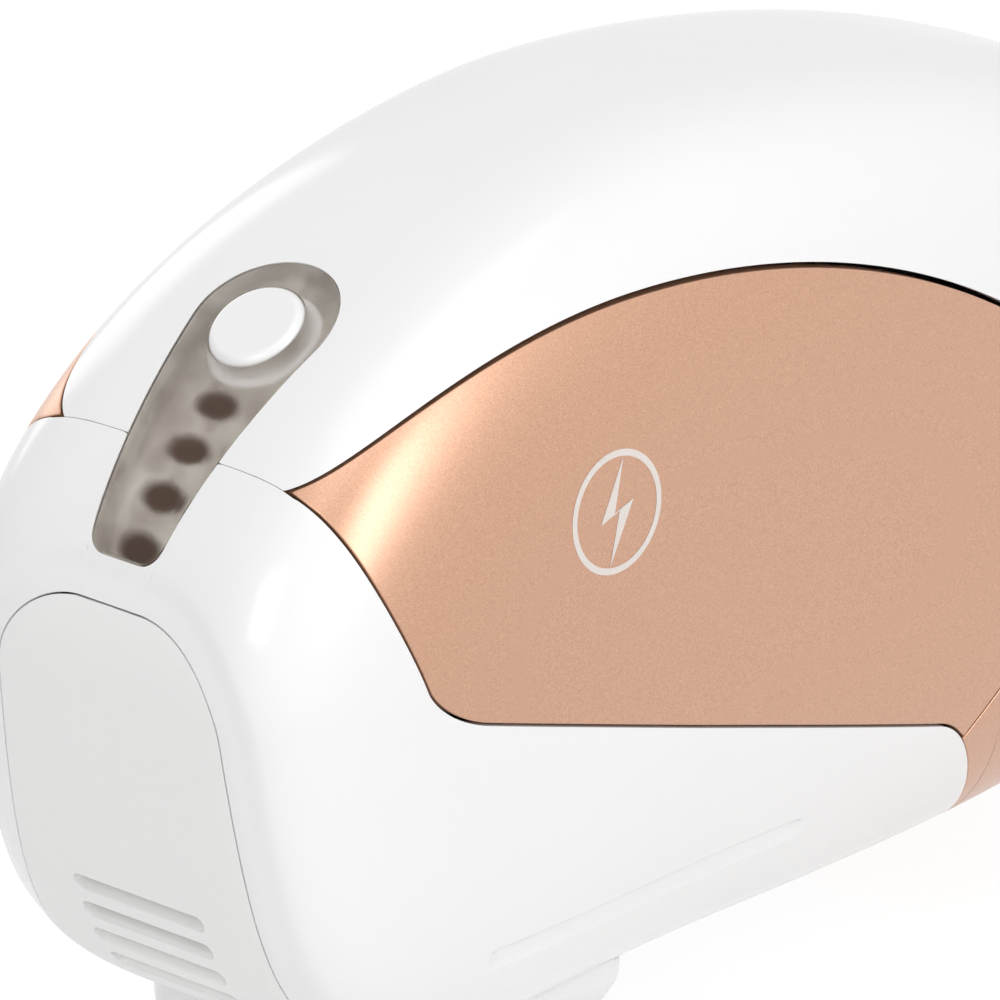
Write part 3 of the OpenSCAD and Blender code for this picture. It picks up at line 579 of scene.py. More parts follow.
# Polyester tape round the transformer: yellow, slightly shiny
tape = moulded("yellow_polyester_tape", "#D9B64A", "#CFAA3E", 0.3, 6.0, 0.02)
# Heat-shrunk sleeve of the capacitor
sleeve = moulded("blue_shrink_sleeve", "#27405E", "#223853", 0.4, 4.0, 0.02)
# Glazed lamp holders of steatite
ceramic = moulded("white_steatite", "#E9E4D8", "#DFD9CB", 0.5, 0.8, 0.04)
# Fused quartz and amber filter glass: clear, with a tint
quartz = moulded("fused_quartz", "#F4F8F8", "#F0F5F5", 0.03, 10, 0.0, Transmission_Weight=1.0, IOR=1.46)
amber_glass = moulded("amber_filter_glass", "#E3A24A", "#DD9B42", 0.03, 10, 0.0,
                      Transmission_Weight=1.0, IOR=1.52)
# Pad-printed pale ink of the flash mark
print_ink = moulded("pale_pad_print_ink", "#E9E1DB", "#E2D9D2", 0.45, 0.6, 0.02)


def rose_gold_paint():
    """Metallic lacquer over ABS: fine flakes drift in tone and gloss, under a satin clear coat. The flakes
    are drawn at about 0.1 mm, coarser than real ones, so that their sparkle shows."""
    flake_mm, flake_relief_mm = 0.11, 0.05
    m, t = material("rose_gold_metallic_lacquer")
    where = add(t, "ShaderNodeTexCoord")
    scale = METRE / flake_mm
    flake = add(t, "ShaderNodeTexNoise", {"Vector": (where, "Object"), "Scale": scale, "Detail": 1.0})
    tone = add(t, "ShaderNodeValToRGB", {"Fac": (flake, "Fac")})
    low, high = tone.color_ramp.elements
    low.position, high.position = 0.36, 0.66
    low.color, high.color = rgb("#BA7D54"), rgb("#D29A70")
    rough = add(t, "ShaderNodeMapRange", {"Value": (flake, "Fac"), "To Min": 0.34, "To Max": 0.44})
    relief = add(t, "ShaderNodeBump", {"Height": (flake, "Fac"), "Strength": 0.04,
                                       "Distance": flake_relief_mm / METRE})
    shader = add(t, "ShaderNodeBsdfPrincipled", {
        "Base Color": (tone, "Color"), "Roughness": (rough, "Result"), "Normal": (relief, "Normal"),
        "Metallic": 0.75, "Coat Weight": 1.0, "Coat Roughness": 0.36, "Coat IOR": 2.2})
    add(t, "ShaderNodeOutputMaterial", {"Surface": (shader, "BSDF")})
    return m


def smoky_lens_plastic():
    """Smoke-tinted acrylic: see-through, with a soft cast that veils what lies under it."""
    veil_mm = 7.0
    m, t = material("smoky_acrylic")
    where = add(t, "ShaderNodeTexCoord")
    scale = METRE / veil_mm
    veil = add(t, "ShaderNodeTexNoise", {"Vector": (where, "Object"), "Scale": scale, "Detail": 2.0})
    tone = add(t, "ShaderNodeValToRGB", {"Fac": (veil, "Fac")})
    low, high = tone.color_ramp.elements
    low.position, high.position = 0.35, 0.65
    low.color, high.color = rgb("#D3CFCA"), rgb("#E0DCD7")
    shader = add(t, "ShaderNodeBsdfPrincipled", {
        "Base Color": (tone, "Color"), "Roughness": 0.34, "Transmission Weight": 0.97, "IOR": 1.25})
    add(t, "ShaderNodeOutputMaterial", {"Surface": (shader, "BSDF")})
    return m


def light_guide_plastic():
    """Grey-beige light guide with painted shade in its wells: dark brown ovals at an even pitch along the
    lens, with soft edges. The reach from the nearest oval's middle is counted in its half axes, so that it is
    1 on the oval."""
    veil_mm = 4.0
    m, t = material("grey_beige_light_guide")
    where = add(t, "ShaderNodeTexCoord")
    middle = to_frame(lens_mid).tolist()
    place = add(t, "ShaderNodeVectorMath", {0: (where, "Object"), 1: middle}, operation="SUBTRACT")
    along, across = [
        add(t, "ShaderNodeVectorMath", {0: (place, "Vector"), 1: axis}, operation="DOT_PRODUCT")
        for axis in ((lens_u * METRE).tolist(), (0, METRE, 0))]
    run = add(t, "ShaderNodeMath", {0: (along, "Value"), 1: WELL_FIRST}, operation="SUBTRACT")
    pitches = add(t, "ShaderNodeMath", {0: (run, 0), 1: WELL_PITCH}, operation="DIVIDE")
    whole = add(t, "ShaderNodeMath", {0: (pitches, 0)}, operation="ROUND")
    nearest = add(t, "ShaderNodeClamp", {"Value": (whole, 0), "Min": 0.0, "Max": WELL_COUNT - 1.0})
    off = add(t, "ShaderNodeMath", {0: (nearest, 0), 1: -WELL_PITCH, 2: (run, 0)}, operation="MULTIPLY_ADD")
    length = add(t, "ShaderNodeMath", {0: (off, 0), 1: WELL_LONG}, operation="DIVIDE")
    width = add(t, "ShaderNodeMath", {0: (across, "Value"), 1: WELL_WIDE}, operation="DIVIDE")
    oval = add(t, "ShaderNodeCombineXYZ", {"X": (length, 0), "Y": (width, 0)})
    reach = add(t, "ShaderNodeVectorMath", {0: (oval, "Vector")}, operation="LENGTH")
    # Mask of the painted shade in the wells, full at their cores
    dark = add(t, "ShaderNodeMapRange", {
        "Value": (reach, "Value"), "From Min": WELL_SHADE_RIM, "From Max": WELL_SHADE_CORE},
        interpolation_type="SMOOTHSTEP")
    scale = METRE / veil_mm
    grain = add(t, "ShaderNodeTexNoise", {"Vector": (where, "Object"), "Scale": scale, "Detail": 2.0})
    veil = add(t, "ShaderNodeValToRGB", {"Fac": (grain, "Fac")})
    low, high = veil.color_ramp.elements
    low.position, high.position = 0.35, 0.65
    low.color, high.color = rgb("#B3ACA4"), rgb("#DCD8D2")
    tone = add(t, "ShaderNodeMix", {"Factor": (dark, "Result")}, data_type="RGBA")
    t.links.new(veil.outputs["Color"], tone.inputs[6])
    # Dark brown of the painted shade in the wells
    tone.inputs[7].default_value = rgb("#4A2C12")
    shader = add(t, "ShaderNodeBsdfPrincipled", {
        "Base Color": (tone, 2), "Roughness": 0.6, "Specular IOR Level": 0.2})
    add(t, "ShaderNodeOutputMaterial", {"Surface": (shader, "BSDF")})
    return m


rose_gold = rose_gold_paint()
smoky = smoky_lens_plastic()
guide_plastic = light_guide_plastic()


# Covers
def lens_notch(grow):
    """The lens's outline on the skin, on the +Y side, from its narrow end to its round end."""
    least = 0.02
    ring = taut(LENS_CIRCLES, grow, step=0.25)
    ring = ring[ring[:, 1] >= 0]
    ring = ring[np.argsort(ring[:, 0])]
    first = np.array([[-LENS_LEN / 2 - grow, 0.0]])
    last = np.array([[LENS_LEN / 2 + grow, 0.0]])
    ring = np.concatenate([first, ring[ring[:, 1] > least], last])
    return on_lens(ring[:, 0], ring[:, 1])


def under_x(grow):
    """Where the panel's upper seam runs out on the underside."""
    x = np.linspace(TAIL_X0, TAIL_X1, 7001)
    return float(x[np.argmax(half_width(x, top_edge(x, grow)) <= 0)])


def upper_shell():
    """From the shell seam to the inlet in the tail. In each cross-section it runs from the panel's seam up to
    the lens's outline, or to the middle behind the lens; behind the panels it closes round the tail."""
    clear = 0.1
    steps = np.linspace(0, 1, 56)
    notch = lens_notch(LENS_GAP + FINE_EDGE_R)
    seam_x = SHELL_SEAM_X + HAIRLINE + FINE_EDGE_R
    below = np.interp(seam_x, notch[:, 0], notch[:, 1]), np.interp(seam_x, notch[:, 0], notch[:, 2])
    notch = notch[notch[:, 0] > seam_x + clear]
    x = np.concatenate([[seam_x], notch[:, 0]])
    inner = np.concatenate([[math.atan2(*below)], np.arctan2(notch[:, 1], notch[:, 2])])
    tail_x = under_x(SHELL_GAP + FINE_EDGE_R)
    bend = tail_x - (tail_x - TAIL_BEND_X) * np.linspace(1, 0, 50)[1:] ** 2
    back = np.concatenate([np.linspace(x[-1], TAIL_BEND_X, 150)[1:], bend])
    x = np.concatenate([x, back])
    inner = np.concatenate([inner, np.zeros(len(back))])
    outer = turn_at(x, top_edge(x, shell_gap(x) + FINE_EDGE_R))
    outer[-1] = np.pi
    turn = outer[:, None] + (inner - outer)[:, None] * steps
    front = round_section(x[:, None], turn)
    turn_tail = np.pi * (1 - steps)
    ring = round_section(np.full_like(turn_tail, tail_x), turn_tail)
    start = np.linalg.norm(ring[:, 1:], axis=1)
    hole = JACK_HOLE_R + FINE_EDGE_R
    share = np.linspace(0, 1, 60)[:, None]
    reach = start * (1 - share) + hole * share
    zero = np.zeros_like(reach)
    inside = np.stack([zero + TAIL_X0, reach * np.sin(turn_tail), reach * np.cos(turn_tail)], -1)
    tail = meet_skin(inside, np.array([1.0, 0, 0]))
    tail[0] = ring
    front[-1] = ring
    skin_piece("upper_shell_skin", both_sides(front) + both_sides(tail), white_abs, "handset",
               ["upper_shell"], edge=FINE_EDGE_R)


def flash_panel(side, body, node):
    """From the front corner to the grip seam; in each cross-section between the upper and the lower seam. The
    columns lie a little closer at both ends."""
    eased = 0.25
    inset = PANEL_GAP + EDGE_R
    low = beside(panel_low_line, inset)
    x_all = np.linspace(low[0, 0], low[-1, 0], 4000)
    width = top_edge(x_all, -inset) - np.interp(x_all, low[:, 0], low[:, 1])
    good = x_all[width > 0]
    s = np.linspace(0, 1, 240)
    x = good[0] + (good[-1] - good[0]) * ((1 - eased) * s + eased * (1 - np.cos(np.pi * s)) / 2)
    upper = turn_at(x, top_edge(x, -inset))
    lower = turn_at(x, np.interp(x, low[:, 0], low[:, 1]))
    grid = round_section(x[:, None], upper[:, None] + (lower - upper)[:, None] * np.linspace(0, 1, 90))
    if side < 0:
        grid = (grid * [1, -1, 1])[::-1]
    skin_piece(node + "_skin", [grid], rose_gold, body, [node])


def grip_cover():
    """From the casing's tip to the upper shell, round the belly: each cross-section runs from the panel's
    seam or the upper shell's seam down to the casing's end or the middle of the underside."""
    beyond, columns = 60.0, 60
    inset = HAIRLINE + EDGE_R
    seam_line = np.stack([grip_corner + t * (grip_end - grip_corner) for t in np.linspace(-0.1, 1.1, 200)])
    seam_line = beside(seam_line, -inset)
    tip = beside(tip_line, inset)
    end_x = under_x(-SHELL_GAP - EDGE_R)
    x_all = np.linspace(grip_corner[0] - 1, end_x, 8000)

    def top(x):
        shell = top_edge(x, -SHELL_GAP - EDGE_R)
        return np.where(x < grip_end[0], np.minimum(np.interp(x, *seam_line.T), shell), shell)

    def foot(x):
        return turn_at(x, np.interp(x, tip[:, 0], tip[:, 1], left=beyond, right=-beyond))

    first = x_all[np.argmax(foot(x_all) > turn_at(x_all, top(x_all)))]
    foot_x = x_all[np.argmax(foot(x_all) >= np.pi)]
    bend = end_x - (end_x - TAIL_BEND_X) * np.linspace(1, 0, 46)[1:] ** 2
    x = np.concatenate([np.linspace(first, foot_x, columns), np.linspace(foot_x, TAIL_BEND_X, 70)[1:], bend])
    upper, lower = turn_at(x, top(x)), foot(x)
    lower[columns - 1:] = np.pi
    grid = round_section(x[:, None], upper[:, None] + (lower - upper)[:, None] * np.linspace(0, 1, 64))
    skin_piece("grip_cover_skin", both_sides(grid), rose_gold, "handset", ["grip_cover"],
               holes=screw_holes(SCREWS[2:], EDGE_R))


def nose_view(points):
    """Turn about the nose's eye line, from straight up, and slant away from that line, of points."""
    d = points - NOSE_EYE
    turn = np.arctan2(np.abs(d[..., 1]), d[..., 2])
    slant = np.arctan2(np.hypot(d[..., 1], d[..., 2]) / NOSE_SCALE[1], -d[..., 0] / NOSE_SCALE[0])
    return turn, slant


def nose_point(turn, slant):
    """Skin point at a turn and a slant from the nose's eye."""
    way = np.stack([-NOSE_SCALE[0] * np.cos(slant), NOSE_SCALE[1] * np.sin(slant) * np.sin(turn),
                    NOSE_SCALE[1] * np.sin(slant) * np.cos(turn)], -1)
    return meet_skin(NOSE_EYE, unit(way))


def cap_outline(grow):
    """The vent cap's outline on the nose's skin, on the +Y side, from its top to its foot."""
    ring = taut(CAP_CIRCLES, grow)
    ring = ring[ring[:, 0] >= 0]
    turn = np.arctan2(ring[:, 0], ring[:, 1] - NOSE_EYE[2])
    ring = ring[np.argsort(turn)]
    return on_nose(ring[:, 0], ring[:, 1])


def stadium(x, z, x0, x1, middle_z, half):
    """Distance from a straight slot with round ends, below zero inside it."""
    return np.hypot(x - np.clip(x, x0 + half, x1 - half), z - middle_z) - half


def cap_distance(y, z):
    """Distance from the nearest point of the cap's outline in the front view; out of reach, a large value."""
    reach, far = 8.0, 99.0
    ring = taut(CAP_CIRCLES, step=0.5)
    near = np.full(y.shape, far)
    close = (np.abs(y) < CAP_FOOT_W + reach) & (z < CAP_TOP_Z + reach) & (z > CAP_FOOT_Z - reach)
    gap = np.hypot(y[close][:, None] - ring[:, 0], z[close][:, None] - ring[:, 1])
    near[close] = gap.min(axis=1)
    return near


def casing_sink(points):
    """The finger groove on both sides, deepest under its brow and running out below, and a soft dish about
    the vent cap."""
    x, y, z = points.T
    up = np.clip((z - GROOVE_Z) / GROOVE_W + 0.5, 0, 1)
    ends = smooth((x - GROOVE_X0) / GROOVE_END) * smooth((GROOVE_X1 - x) / GROOVE_END)
    deep = GROOVE_DEEP * ends * up * smooth((1 - up) / GROOVE_BROW) * (np.abs(y) > GROOVE_SIDE_Y)
    dish = DISH_DEEP * smooth((DISH_REACH - cap_distance(y, z)) / DISH_SOFT) * (x < DISH_X)
    return deep + dish


def lower_casing():
    """Fans out from the vent cap's outline, by turn and slant about the nose, to the lens, the shell seam,
    the panel's lower seam and the casing's tip. Its rows keep an even step along that edge and in turn, and
    lie much closer over the few degrees in which the groove runs."""
    clear = 0.05
    step_mm, step_deg = 0.9, 1.5
    groove_from, groove_span, groove_deg = 118.0, 10.0, 0.2
    inset = HAIRLINE + FINE_EDGE_R
    lens = lens_notch(LENS_GAP + FINE_EDGE_R)
    seam_x = SHELL_SEAM_X - inset
    lens = lens[lens[:, 0] < seam_x]
    top_y = float(lens[-1, 1])
    line = beside(casing_line, -(CASING_GAP + FINE_EDGE_R))
    line = line[line[:, 0] > seam_x + clear]
    corner_y = float(half_width(line[0, 0], line[0, 1]))
    seam_y = np.linspace(top_y, corner_y, 40)[1:-1]
    seam = on_plan(seam_x, seam_y, 1.0)
    side = np.stack([line[:, 0], half_width(line[:, 0], line[:, 1]), line[:, 1]], -1)
    side = side[side[:, 1] > 0.01]
    under_y = np.linspace(side[-1, 1], 0, 14)[1:]
    under = on_plan(side[-1, 0], under_y, -1.0)
    edge = np.concatenate([lens, seam, side, under])
    turn, slant = nose_view(edge)
    grow = np.concatenate([[True], turn[1:] > np.maximum.accumulate(turn)[:-1] + 1e-5])
    edge, turn, slant = edge[grow], turn[grow], slant[grow]
    run = np.concatenate([[0], np.cumsum(np.linalg.norm(np.diff(edge, axis=0), axis=1))])
    degrees = np.degrees(turn)
    weight = run / step_mm + degrees / step_deg + np.clip(degrees - groove_from, 0, groove_span) / groove_deg
    at = np.interp(np.linspace(0, weight[-1], int(weight[-1])), weight, turn)
    at = np.concatenate([[0.0], at[1:], [np.pi]])
    out = np.interp(at, turn, slant)
    cap_turn, cap_slant = nose_view(cap_outline(CAP_GAP + FINE_EDGE_R))
    cap = np.interp(at, cap_turn, cap_slant)
    share = np.linspace(0, 1, 120)
    grid = nose_point(at[:, None], cap[:, None] + (out - cap)[:, None] * share)
    head = (HEAD_GAP + FINE_EDGE_R, (HEAD_X, 0.0), (HEAD_LEN / 2, HEAD_WIDE / 2), HEAD_CORNER)
    holes = [head] + screw_holes(SCREWS[:2], FINE_EDGE_R)
    skin_piece("lower_casing_skin", both_sides(grid), white_abs, "handset", ["lower_casing"],
               edge=FINE_EDGE_R, sink=casing_sink, holes=holes)


def cap_sink(points):
    """Vent slots: flat-bottomed recesses with round ends; and the dish that the cap lies in."""
    _, y, z = points.T
    deep = np.full(len(points), DISH_DEEP)
    for i in range(SLOT_COUNT):
        slot = stadium(y, z, -SLOT_LEN / 2, SLOT_LEN / 2, SLOT_TOP_Z - i * SLOT_PITCH, SLOT_H / 2)
        deep += SLOT_DEEP * smooth(0.5 - slot / SLOT_EDGE)
    return deep


def front_vent_cap():
    """Rows across the nose within the cap's outline, closer together at the slots."""
    ring = taut(CAP_CIRCLES, -(CAP_GAP + FINE_EDGE_R), step=0.1)
    ring = ring[ring[:, 0] >= 0]
    ring = ring[np.argsort(ring[:, 1])]
    low, high = ring[0, 1], ring[-1, 1]
    slots_low = SLOT_TOP_Z - (SLOT_COUNT - 1) * SLOT_PITCH - SLOT_MARGIN
    slots_high = SLOT_TOP_Z + SLOT_MARGIN
    bend = np.linspace(0, np.pi / 2, 30)
    foot = low + (slots_low - low) * (1 - np.cos(bend))[:-1]
    crown = slots_high + (high - slots_high) * np.sin(bend)[1:]
    z = np.concatenate([foot, np.linspace(slots_low, slots_high, 110), crown])
    wide = np.interp(z, ring[:, 1], ring[:, 0])
    wide[0] = wide[-1] = 0
    u = np.linspace(-1, 1, 181)
    grid = on_nose(wide[:, None] * u, z[:, None] + 0 * u)
    skin_piece("front_vent_cap_skin", [grid], cap_abs, "handset", ["front_vent_cap"],
               edge=FINE_EDGE_R, sink=cap_sink)


def indicator_lens():
    """Rings round the button out to the lens's outline, a little proud of the skin and softly bevelled."""
    eye = np.array([float((button_at - lens_mid) @ lens_u), 0.0])
    ring = taut(LENS_CIRCLES, -FINE_EDGE_R)
    a = np.arctan2(ring[:, 1], ring[:, 0] - eye[0])
    ring = ring[np.argsort(a)]
    a = np.sort(a)
    turn = np.linspace(-np.pi, np.pi, 361)
    far_out = np.interp(turn, a, np.hypot(ring[:, 0] - eye[0], ring[:, 1]), period=2 * np.pi)
    share = np.linspace(0, 1, 64)
    hole = BUTTON_R + BUTTON_GAP + FINE_EDGE_R
    reach = hole + (far_out - hole)[:, None] * share
    proud = LENS_PROUD * smooth((far_out[:, None] - reach) / LENS_BEVEL)
    grid = on_lens(eye[0] + reach * np.cos(turn)[:, None], reach * np.sin(turn)[:, None], -proud)
    skin_piece("indicator_lens_skin", [grid], smoky, "handset", ["indicator_lens"],
               edge=FINE_EDGE_R, proud=True)


def guide_sink(u, w, wide):
    """Depth of the light guide under the skin: a wall at its rim, a floor, and oval wells in the floor."""
    rim = np.min([wide - np.abs(w), LENS_LEN / 2 - np.abs(u)], axis=0)
    nearest = np.clip(np.round((u - WELL_FIRST) / WELL_PITCH), 0, WELL_COUNT - 1)
    reach = np.hypot((u - WELL_FIRST - nearest * WELL_PITCH) / WELL_LONG, w / WELL_WIDE)
    floor = GUIDE_RIM + (GUIDE_DEEP - GUIDE_RIM) * smooth(rim / GUIDE_WALL)
    return floor + WELL_DEEP * smooth((WELL_RIM - reach) / WELL_SLOPE)


def light_guide():
    """A tray under the lens with four oval wells in its floor."""
    ring = taut(LENS_CIRCLES, -GUIDE_GAP, step=0.1)
    upper = ring[ring[:, 1] >= 0]
    upper = upper[np.argsort(upper[:, 0])]
    u = (LENS_LEN / 2 - GUIDE_END_GAP) * np.sin(np.linspace(-np.pi / 2, np.pi / 2, 260))
    wide = np.interp(u, upper[:, 0], upper[:, 1])
    uu, ww = np.broadcast_arrays(u[:, None], wide[:, None] * np.linspace(-1, 1, 111))
    points, faces = weld([on_lens(uu, ww, guide_sink(uu, ww, wide[:, None]))])
    faces = face_outward(points, faces, np.broadcast_to(lens_n, points.shape))
    mesh_piece("light_guide_tray", points, faces, guide_plastic, "handset", ["light_guide"])


def revolve(profile, steps=96):
    """A profile of (radius, height) turned round its axis."""
    a = np.linspace(0, 2 * np.pi, steps + 1)[:, None]
    r, h = np.asarray(profile, float).T
    return np.stack([r * np.cos(a), r * np.sin(a), h + 0 * a], -1)


def soften(profile, radius, steps=5):
    """A profile with each inner corner rounded by a short curve."""
    p = np.asarray(profile, float)
    out = [p[:1]]
    for before, corner, after in zip(p[:-2], p[1:-1], p[2:]):
        a, b = before - corner, after - corner
        r = min(radius, 0.45 * np.linalg.norm(a), 0.45 * np.linalg.norm(b))
        s, e = corner + a / np.linalg.norm(a) * r, corner + b / np.linalg.norm(b) * r
        t = np.linspace(0, 1, steps)[:, None]
        out.append((1 - t) ** 2 * s + 2 * t * (1 - t) * corner + t * t * e)
    out.append(p[-1:])
    return np.concatenate(out)


def mode_button():
    """A turned cap with a hardly dished top, a flange that holds it behind the lens, and a stem."""
    r, top = BUTTON_R, BUTTON_PROUD
    flange_r, flange_top, flange_foot = r + 0.8, -2.5, -3.3
    stem_r, stem_foot = 1.5, -4.5
    corner_r = 0.3
    dished = [(0, top - 0.12), (r - 1.2, top - 0.02), (r - 0.55, top), (r, top - 0.5)]
    flange = [(r, flange_top), (flange_r, flange_top), (flange_r, flange_foot)]
    stem = [(stem_r, flange_foot), (stem_r, stem_foot), (0, stem_foot)]
    grid = revolve(soften(dished + flange + stem, corner_r))
    ux = np.array([math.cos(button_tilt), 0, math.sin(button_tilt)])
    un = np.array([-math.sin(button_tilt), 0, math.cos(button_tilt)])
    grid = button_at + grid[..., :1] * ux + grid[..., 1:2] * np.array([0, 1, 0]) + grid[..., 2:] * un
    points, faces = weld([grid])
    faces = face_outward(points, faces, points - (button_at + flange_top * un))
    mesh_piece("mode_button_cap", points, faces, button_abs, "mode_button", ["mode_button"],
               crease=CREASE_DEG)


def rounded_plan(half_l, half_w, corner, steps=24):
    """Outline of a rounded rectangle, corner by corner."""
    a = np.linspace(0, np.pi / 2, steps)
    parts = []
    for i, (sx, sy) in enumerate([(1, 1), (-1, 1), (-1, -1), (1, -1)]):
        t = a + i * np.pi / 2
        middle = [sx * (half_l - corner), sy * (half_w - corner)]
        parts.append(middle + corner * np.stack([np.cos(t), np.sin(t)], -1))
    ring = np.concatenate(parts)
    return np.concatenate([ring, ring[:1]])


def treatment_head():
    """Rounded rectangles carried down: the seat in the casing, a wall drawn in towards the face, the face,
    the window's edge and its pocket, back up to the seat, with a thin skirt inside the casing's opening. Each
    is the head's or the window's plan grown by an amount, with a corner radius and a height."""
    head = np.array([HEAD_LEN, HEAD_WIDE]) / 2
    window = np.array([WINDOW_LEN, WINDOW_W]) / 2
    top, face = WALL - BELLY_H - FIT / 2, CONTACT_PROUD - GROUND_Z
    rim, ledge = top + SKIRT_H, face + WINDOW_LEDGE
    face_rise, face_out, face_in = 0.9, 0.4, 0.5
    wall_corner, face_corner = 4.2, 3.6
    ease, ease_corner, pocket_corner = 0.5, 1.0, 0.6
    skirt_corner = HEAD_CORNER - SKIRT_T
    wall = [(head, 0, HEAD_CORNER, rim), (head, 0, HEAD_CORNER, -BELLY_H - FIT),
            (head, face_out - HEAD_STEP, wall_corner, face + face_rise)]
    front = [(head, -face_in - HEAD_STEP, face_corner, face), (window, ease, ease_corner, face)]
    pocket = [(window, 0, pocket_corner, face + ease), (window, 0, pocket_corner, ledge),
              (window, WINDOW_LEDGE, pocket_corner, ledge), (window, WINDOW_LEDGE, pocket_corner, top)]
    skirt = [(head, -SKIRT_T, skirt_corner, top), (head, -SKIRT_T, skirt_corner, rim),
             (head, 0, HEAD_CORNER, rim)]
    steps = [(*(plan + grow), corner, z) for plan, grow, corner, z in wall + front + pocket + skirt]
    rings = []
    for half_l, half_w, corner, z in soften(steps, HEAD_ROUND):
        plan = rounded_plan(half_l, half_w, corner)
        rings.append(np.concatenate([plan + [HEAD_X, 0], np.full((len(plan), 1), z)], 1))
    points, faces = weld([np.stack(rings)])
    faces = face_outward(points, faces, points - [HEAD_X, 0, -BELLY_H])
    mesh_piece("treatment_head_shell", points, faces, white_abs, "head", ["treatment_head"],
               crease=CREASE_DEG)


def flash_mark(side, body):
    """Printed ring and bolt, lying on the panel: places of the side view carried out to the skin."""
    a = np.linspace(0, 2 * np.pi, 145)[:, None]
    r = np.linspace(MARK_R - MARK_STROKE, MARK_R, 5)
    plan = [np.stack([MARK[0] + r * np.cos(a), MARK[1] + r * np.sin(a)], -1)]
    tip, left, mid_low, foot, right, mid_high = [np.array(q) for q in BOLT]
    t = np.linspace(0, 1, 16)[:, None, None]
    s = np.linspace(0, 1, 8)[None, :, None]
    rows = ((tip, tip), (left, mid_high), (mid_low, right), (foot, foot))
    for (a1, a2), (b1, b2) in zip(rows[:-1], rows[1:]):
        plan.append(MARK + (1 - t) * ((1 - s) * a1 + s * a2) + t * ((1 - s) * b1 + s * b2))
    grids = [np.stack([g[..., 0], side * half_width(g[..., 0], g[..., 1]), g[..., 1]], -1) for g in plan]
    points, faces = weld(grids)
    normals = outward(points)
    wrong = np.sum(facing(points, faces) * normals[faces[:, 0]], axis=1) < 0
    faces[wrong] = faces[wrong][:, ::-1]
    mesh_piece(body + "_mark", points + PRINT_LIFT * normals, faces, print_ink, body)


upper_shell()
flash_panel(-1, "flash_panel_left", "flash_panel_left")
flash_panel(1, "flash_panel_right", "flash_panel_right")
grip_cover()
lower_casing()
front_vent_cap()
indicator_lens()
light_guide()
mode_button()
treatment_head()
flash_mark(-1, "flash_panel_left")
flash_mark(1, "flash_panel_right")

# Finishes of the CAD nodes that show as they are
FINISH = {
    steel: ["panel_pivot_pins", "fan_motor", "lamp_electrodes", "skin_contacts", "jack_pin", "casing_screws"],
    aluminium: ["heat_sink", "lamp_reflector"],
    dark_abs: ["flash_switch_left", "flash_switch_right", "mode_switch", "fan_housing", "fan_rotor",
               "control_chips", "power_jack"],
    chassis_nylon: ["chassis", "panel_carrier_left", "panel_carrier_right"],
    board_mask: ["main_board", "led_board"],
    led_resin: ["status_leds"],
    copper: ["charge_coil"],
    tape: ["trigger_transformer"],
    sleeve: ["storage_capacitor"],
    ceramic: ["lamp_holders"],
    quartz: ["flash_lamp", "window_glass"],
    amber_glass: ["filter_glass"],
}
for finish, names in FINISH.items():
    for name in names:
        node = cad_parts[name]
        node.data.materials.clear()
        node.data.materials.append(finish)

# Stage
CAMERA_TURN, CAMERA_RISE = math.radians(-46.832), math.radians(20.938)
CAMERA_FAR = 1.3
CAMERA_ASIDE, CAMERA_UP = -0.00816, 0.00002
LENS_MM, SENSOR_MM, SEES_TO = 524.2, 36.0, 20.0
FLOOR_HALF, FLOOR_GRAIN_MM, FLOOR_GLOW, FLOOR_SHARE = 4.0, 250.0, 1.12, 0.8
WORLD_LIGHT, WORLD_SEEN = 0.45, 1.0
WHITE = (1, 1, 1, 1)

level_back = Vector((math.sin(CAMERA_TURN), -math.cos(CAMERA_TURN), 0))
back = level_back * math.cos(CAMERA_RISE) + Vector((0, 0, math.sin(CAMERA_RISE)))
right = Vector((math.cos(CAMERA_TURN), math.sin(CAMERA_TURN), 0))
up = back.cross(right)
centre = Vector(to_frame(np.zeros(3)).tolist())
stand = centre + right * CAMERA_ASIDE + up * CAMERA_UP + back * CAMERA_FAR
camera = bpy.data.objects.new("camera", bpy.data.cameras.new("camera"))
camera.data.lens = LENS_MM
camera.data.sensor_width = SENSOR_MM
camera.data.clip_end = SEES_TO
camera.matrix_world = Matrix.Translation(stand) @ Matrix((right, up, back)).transposed().to_4x4()
bpy.context.scene.collection.objects.link(camera)
bpy.context.scene.camera = camera
bpy.context.scene.view_settings.view_transform = "Standard"


def lamp(name, way, far, size, power):
    """A soft box in a direction from the object, turned to it."""
    data = bpy.data.lights.new(name, "AREA")
    data.shape = "RECTANGLE"
    data.size, data.size_y = size
    data.energy = power
    obj = bpy.data.objects.new(name, data)
    way = Vector(way).normalized()
    obj.location = centre + way * far
    obj.rotation_euler = way.to_track_quat("Z", "Y").to_euler()
    bpy.context.scene.collection.objects.link(obj)


lamp("key_box", (-0.02, -0.91, 0.4), 0.9, (0.3, 0.66), 2.9)
lamp("top_box", (-0.1, -0.2, 1.0), 1.0, (0.9, 0.7), 2.1)
lamp("front_box", (-0.87, -0.15, 0.45), 1.0, (0.4, 0.4), 2.0)
lamp("far_box", (0.2, 0.9, 0.35), 1.0, (0.5, 0.5), 1.2)


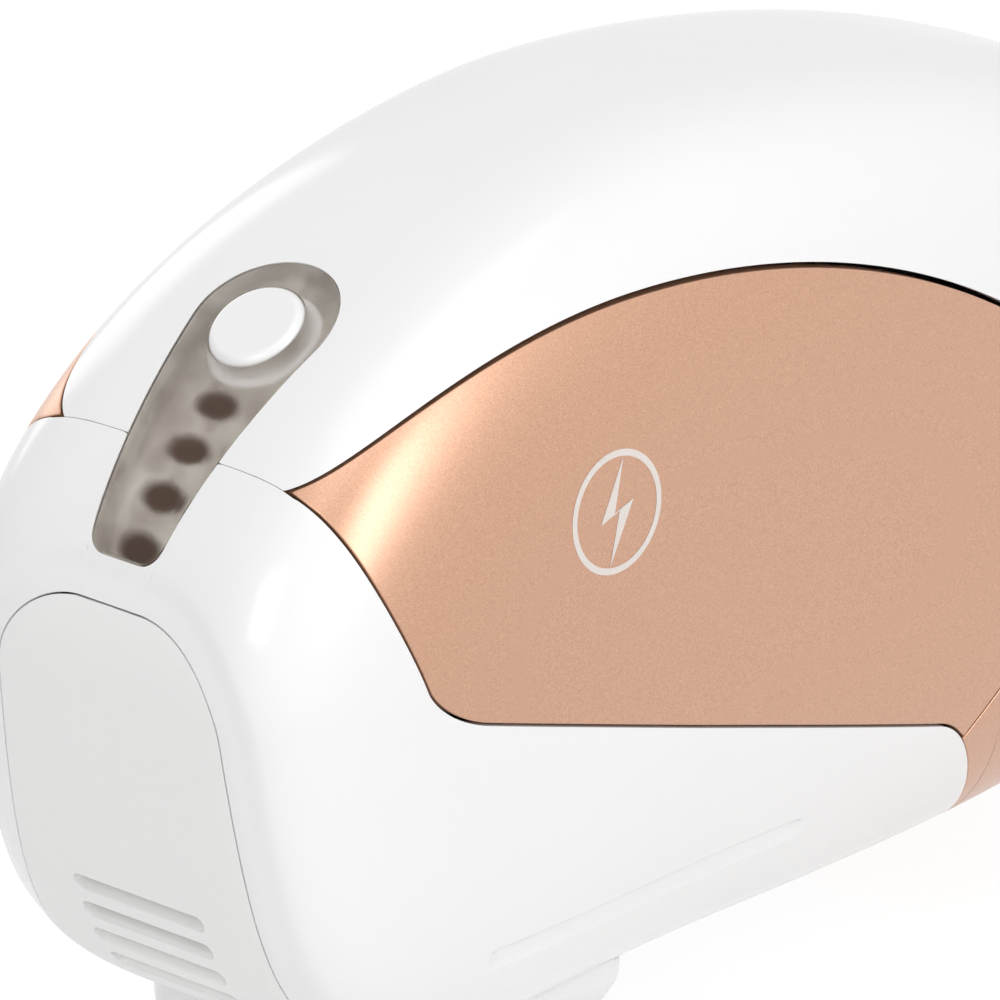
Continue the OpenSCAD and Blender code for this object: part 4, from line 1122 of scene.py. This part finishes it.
def eye_ray(tree):
    """1 for rays that come from the eye, straight, through a clear piece or off a glossy one."""
    ray = add(tree, "ShaderNodeLightPath")
    straight = {0: (ray, "Is Camera Ray"), 1: (ray, "Is Transmission Ray")}
    seen = add(tree, "ShaderNodeMath", straight, operation="MAXIMUM")
    return add(tree, "ShaderNodeMath", {0: (seen, 0), 1: (ray, "Is Glossy Ray")}, operation="MAXIMUM")


def pale_floor():
    """A level square under the object: pale and matt, and partly aglow to the eye, so that it looks white and
    keeps the object's shadow."""
    m, t = material("pale_floor")
    where = add(t, "ShaderNodeTexCoord")
    scale = METRE / FLOOR_GRAIN_MM
    grain = add(t, "ShaderNodeTexNoise", {"Vector": (where, "Object"), "Scale": scale})
    tone = add(t, "ShaderNodeValToRGB", {"Fac": (grain, "Fac")})
    low, high = tone.color_ramp.elements
    low.color, high.color = rgb("#ECECEC"), rgb("#EFEFEF")
    matt = add(t, "ShaderNodeBsdfDiffuse", {"Color": (tone, "Color")})
    glow = add(t, "ShaderNodeEmission", {"Color": WHITE, "Strength": FLOOR_GLOW})
    share = add(t, "ShaderNodeMath", {0: (eye_ray(t), 0), 1: FLOOR_SHARE}, operation="MULTIPLY")
    mix = add(t, "ShaderNodeMixShader", {0: (share, 0), 1: (matt, 0), 2: (glow, 0)})
    add(t, "ShaderNodeOutputMaterial", {"Surface": (mix, 0)})
    me = bpy.data.meshes.new("floor")
    plan = [(-1, -1, 0), (1, -1, 0), (1, 1, 0), (-1, 1, 0)]
    me.from_pydata((FLOOR_HALF * np.array(plan)).tolist(), [], [(0, 1, 2, 3)])
    me.materials.append(m)
    floor = bpy.data.objects.new("floor", me)
    bpy.context.scene.collection.objects.link(floor)


def studio_world():
    """A world that is white to the eye and in reflections, and a plain level of light elsewhere."""
    world = bpy.data.worlds.new("studio")
    world.use_nodes = True
    t = world.node_tree
    t.nodes.clear()
    light = add(t, "ShaderNodeBackground", {"Color": WHITE, "Strength": WORLD_LIGHT})
    seen = add(t, "ShaderNodeBackground", {"Color": WHITE, "Strength": WORLD_SEEN})
    mix = add(t, "ShaderNodeMixShader", {0: (eye_ray(t), 0), 1: (light, 0), 2: (seen, 0)})
    add(t, "ShaderNodeOutputWorld", {"Surface": (mix, 0)})
    bpy.context.scene.world = world


pale_floor()
studio_world()
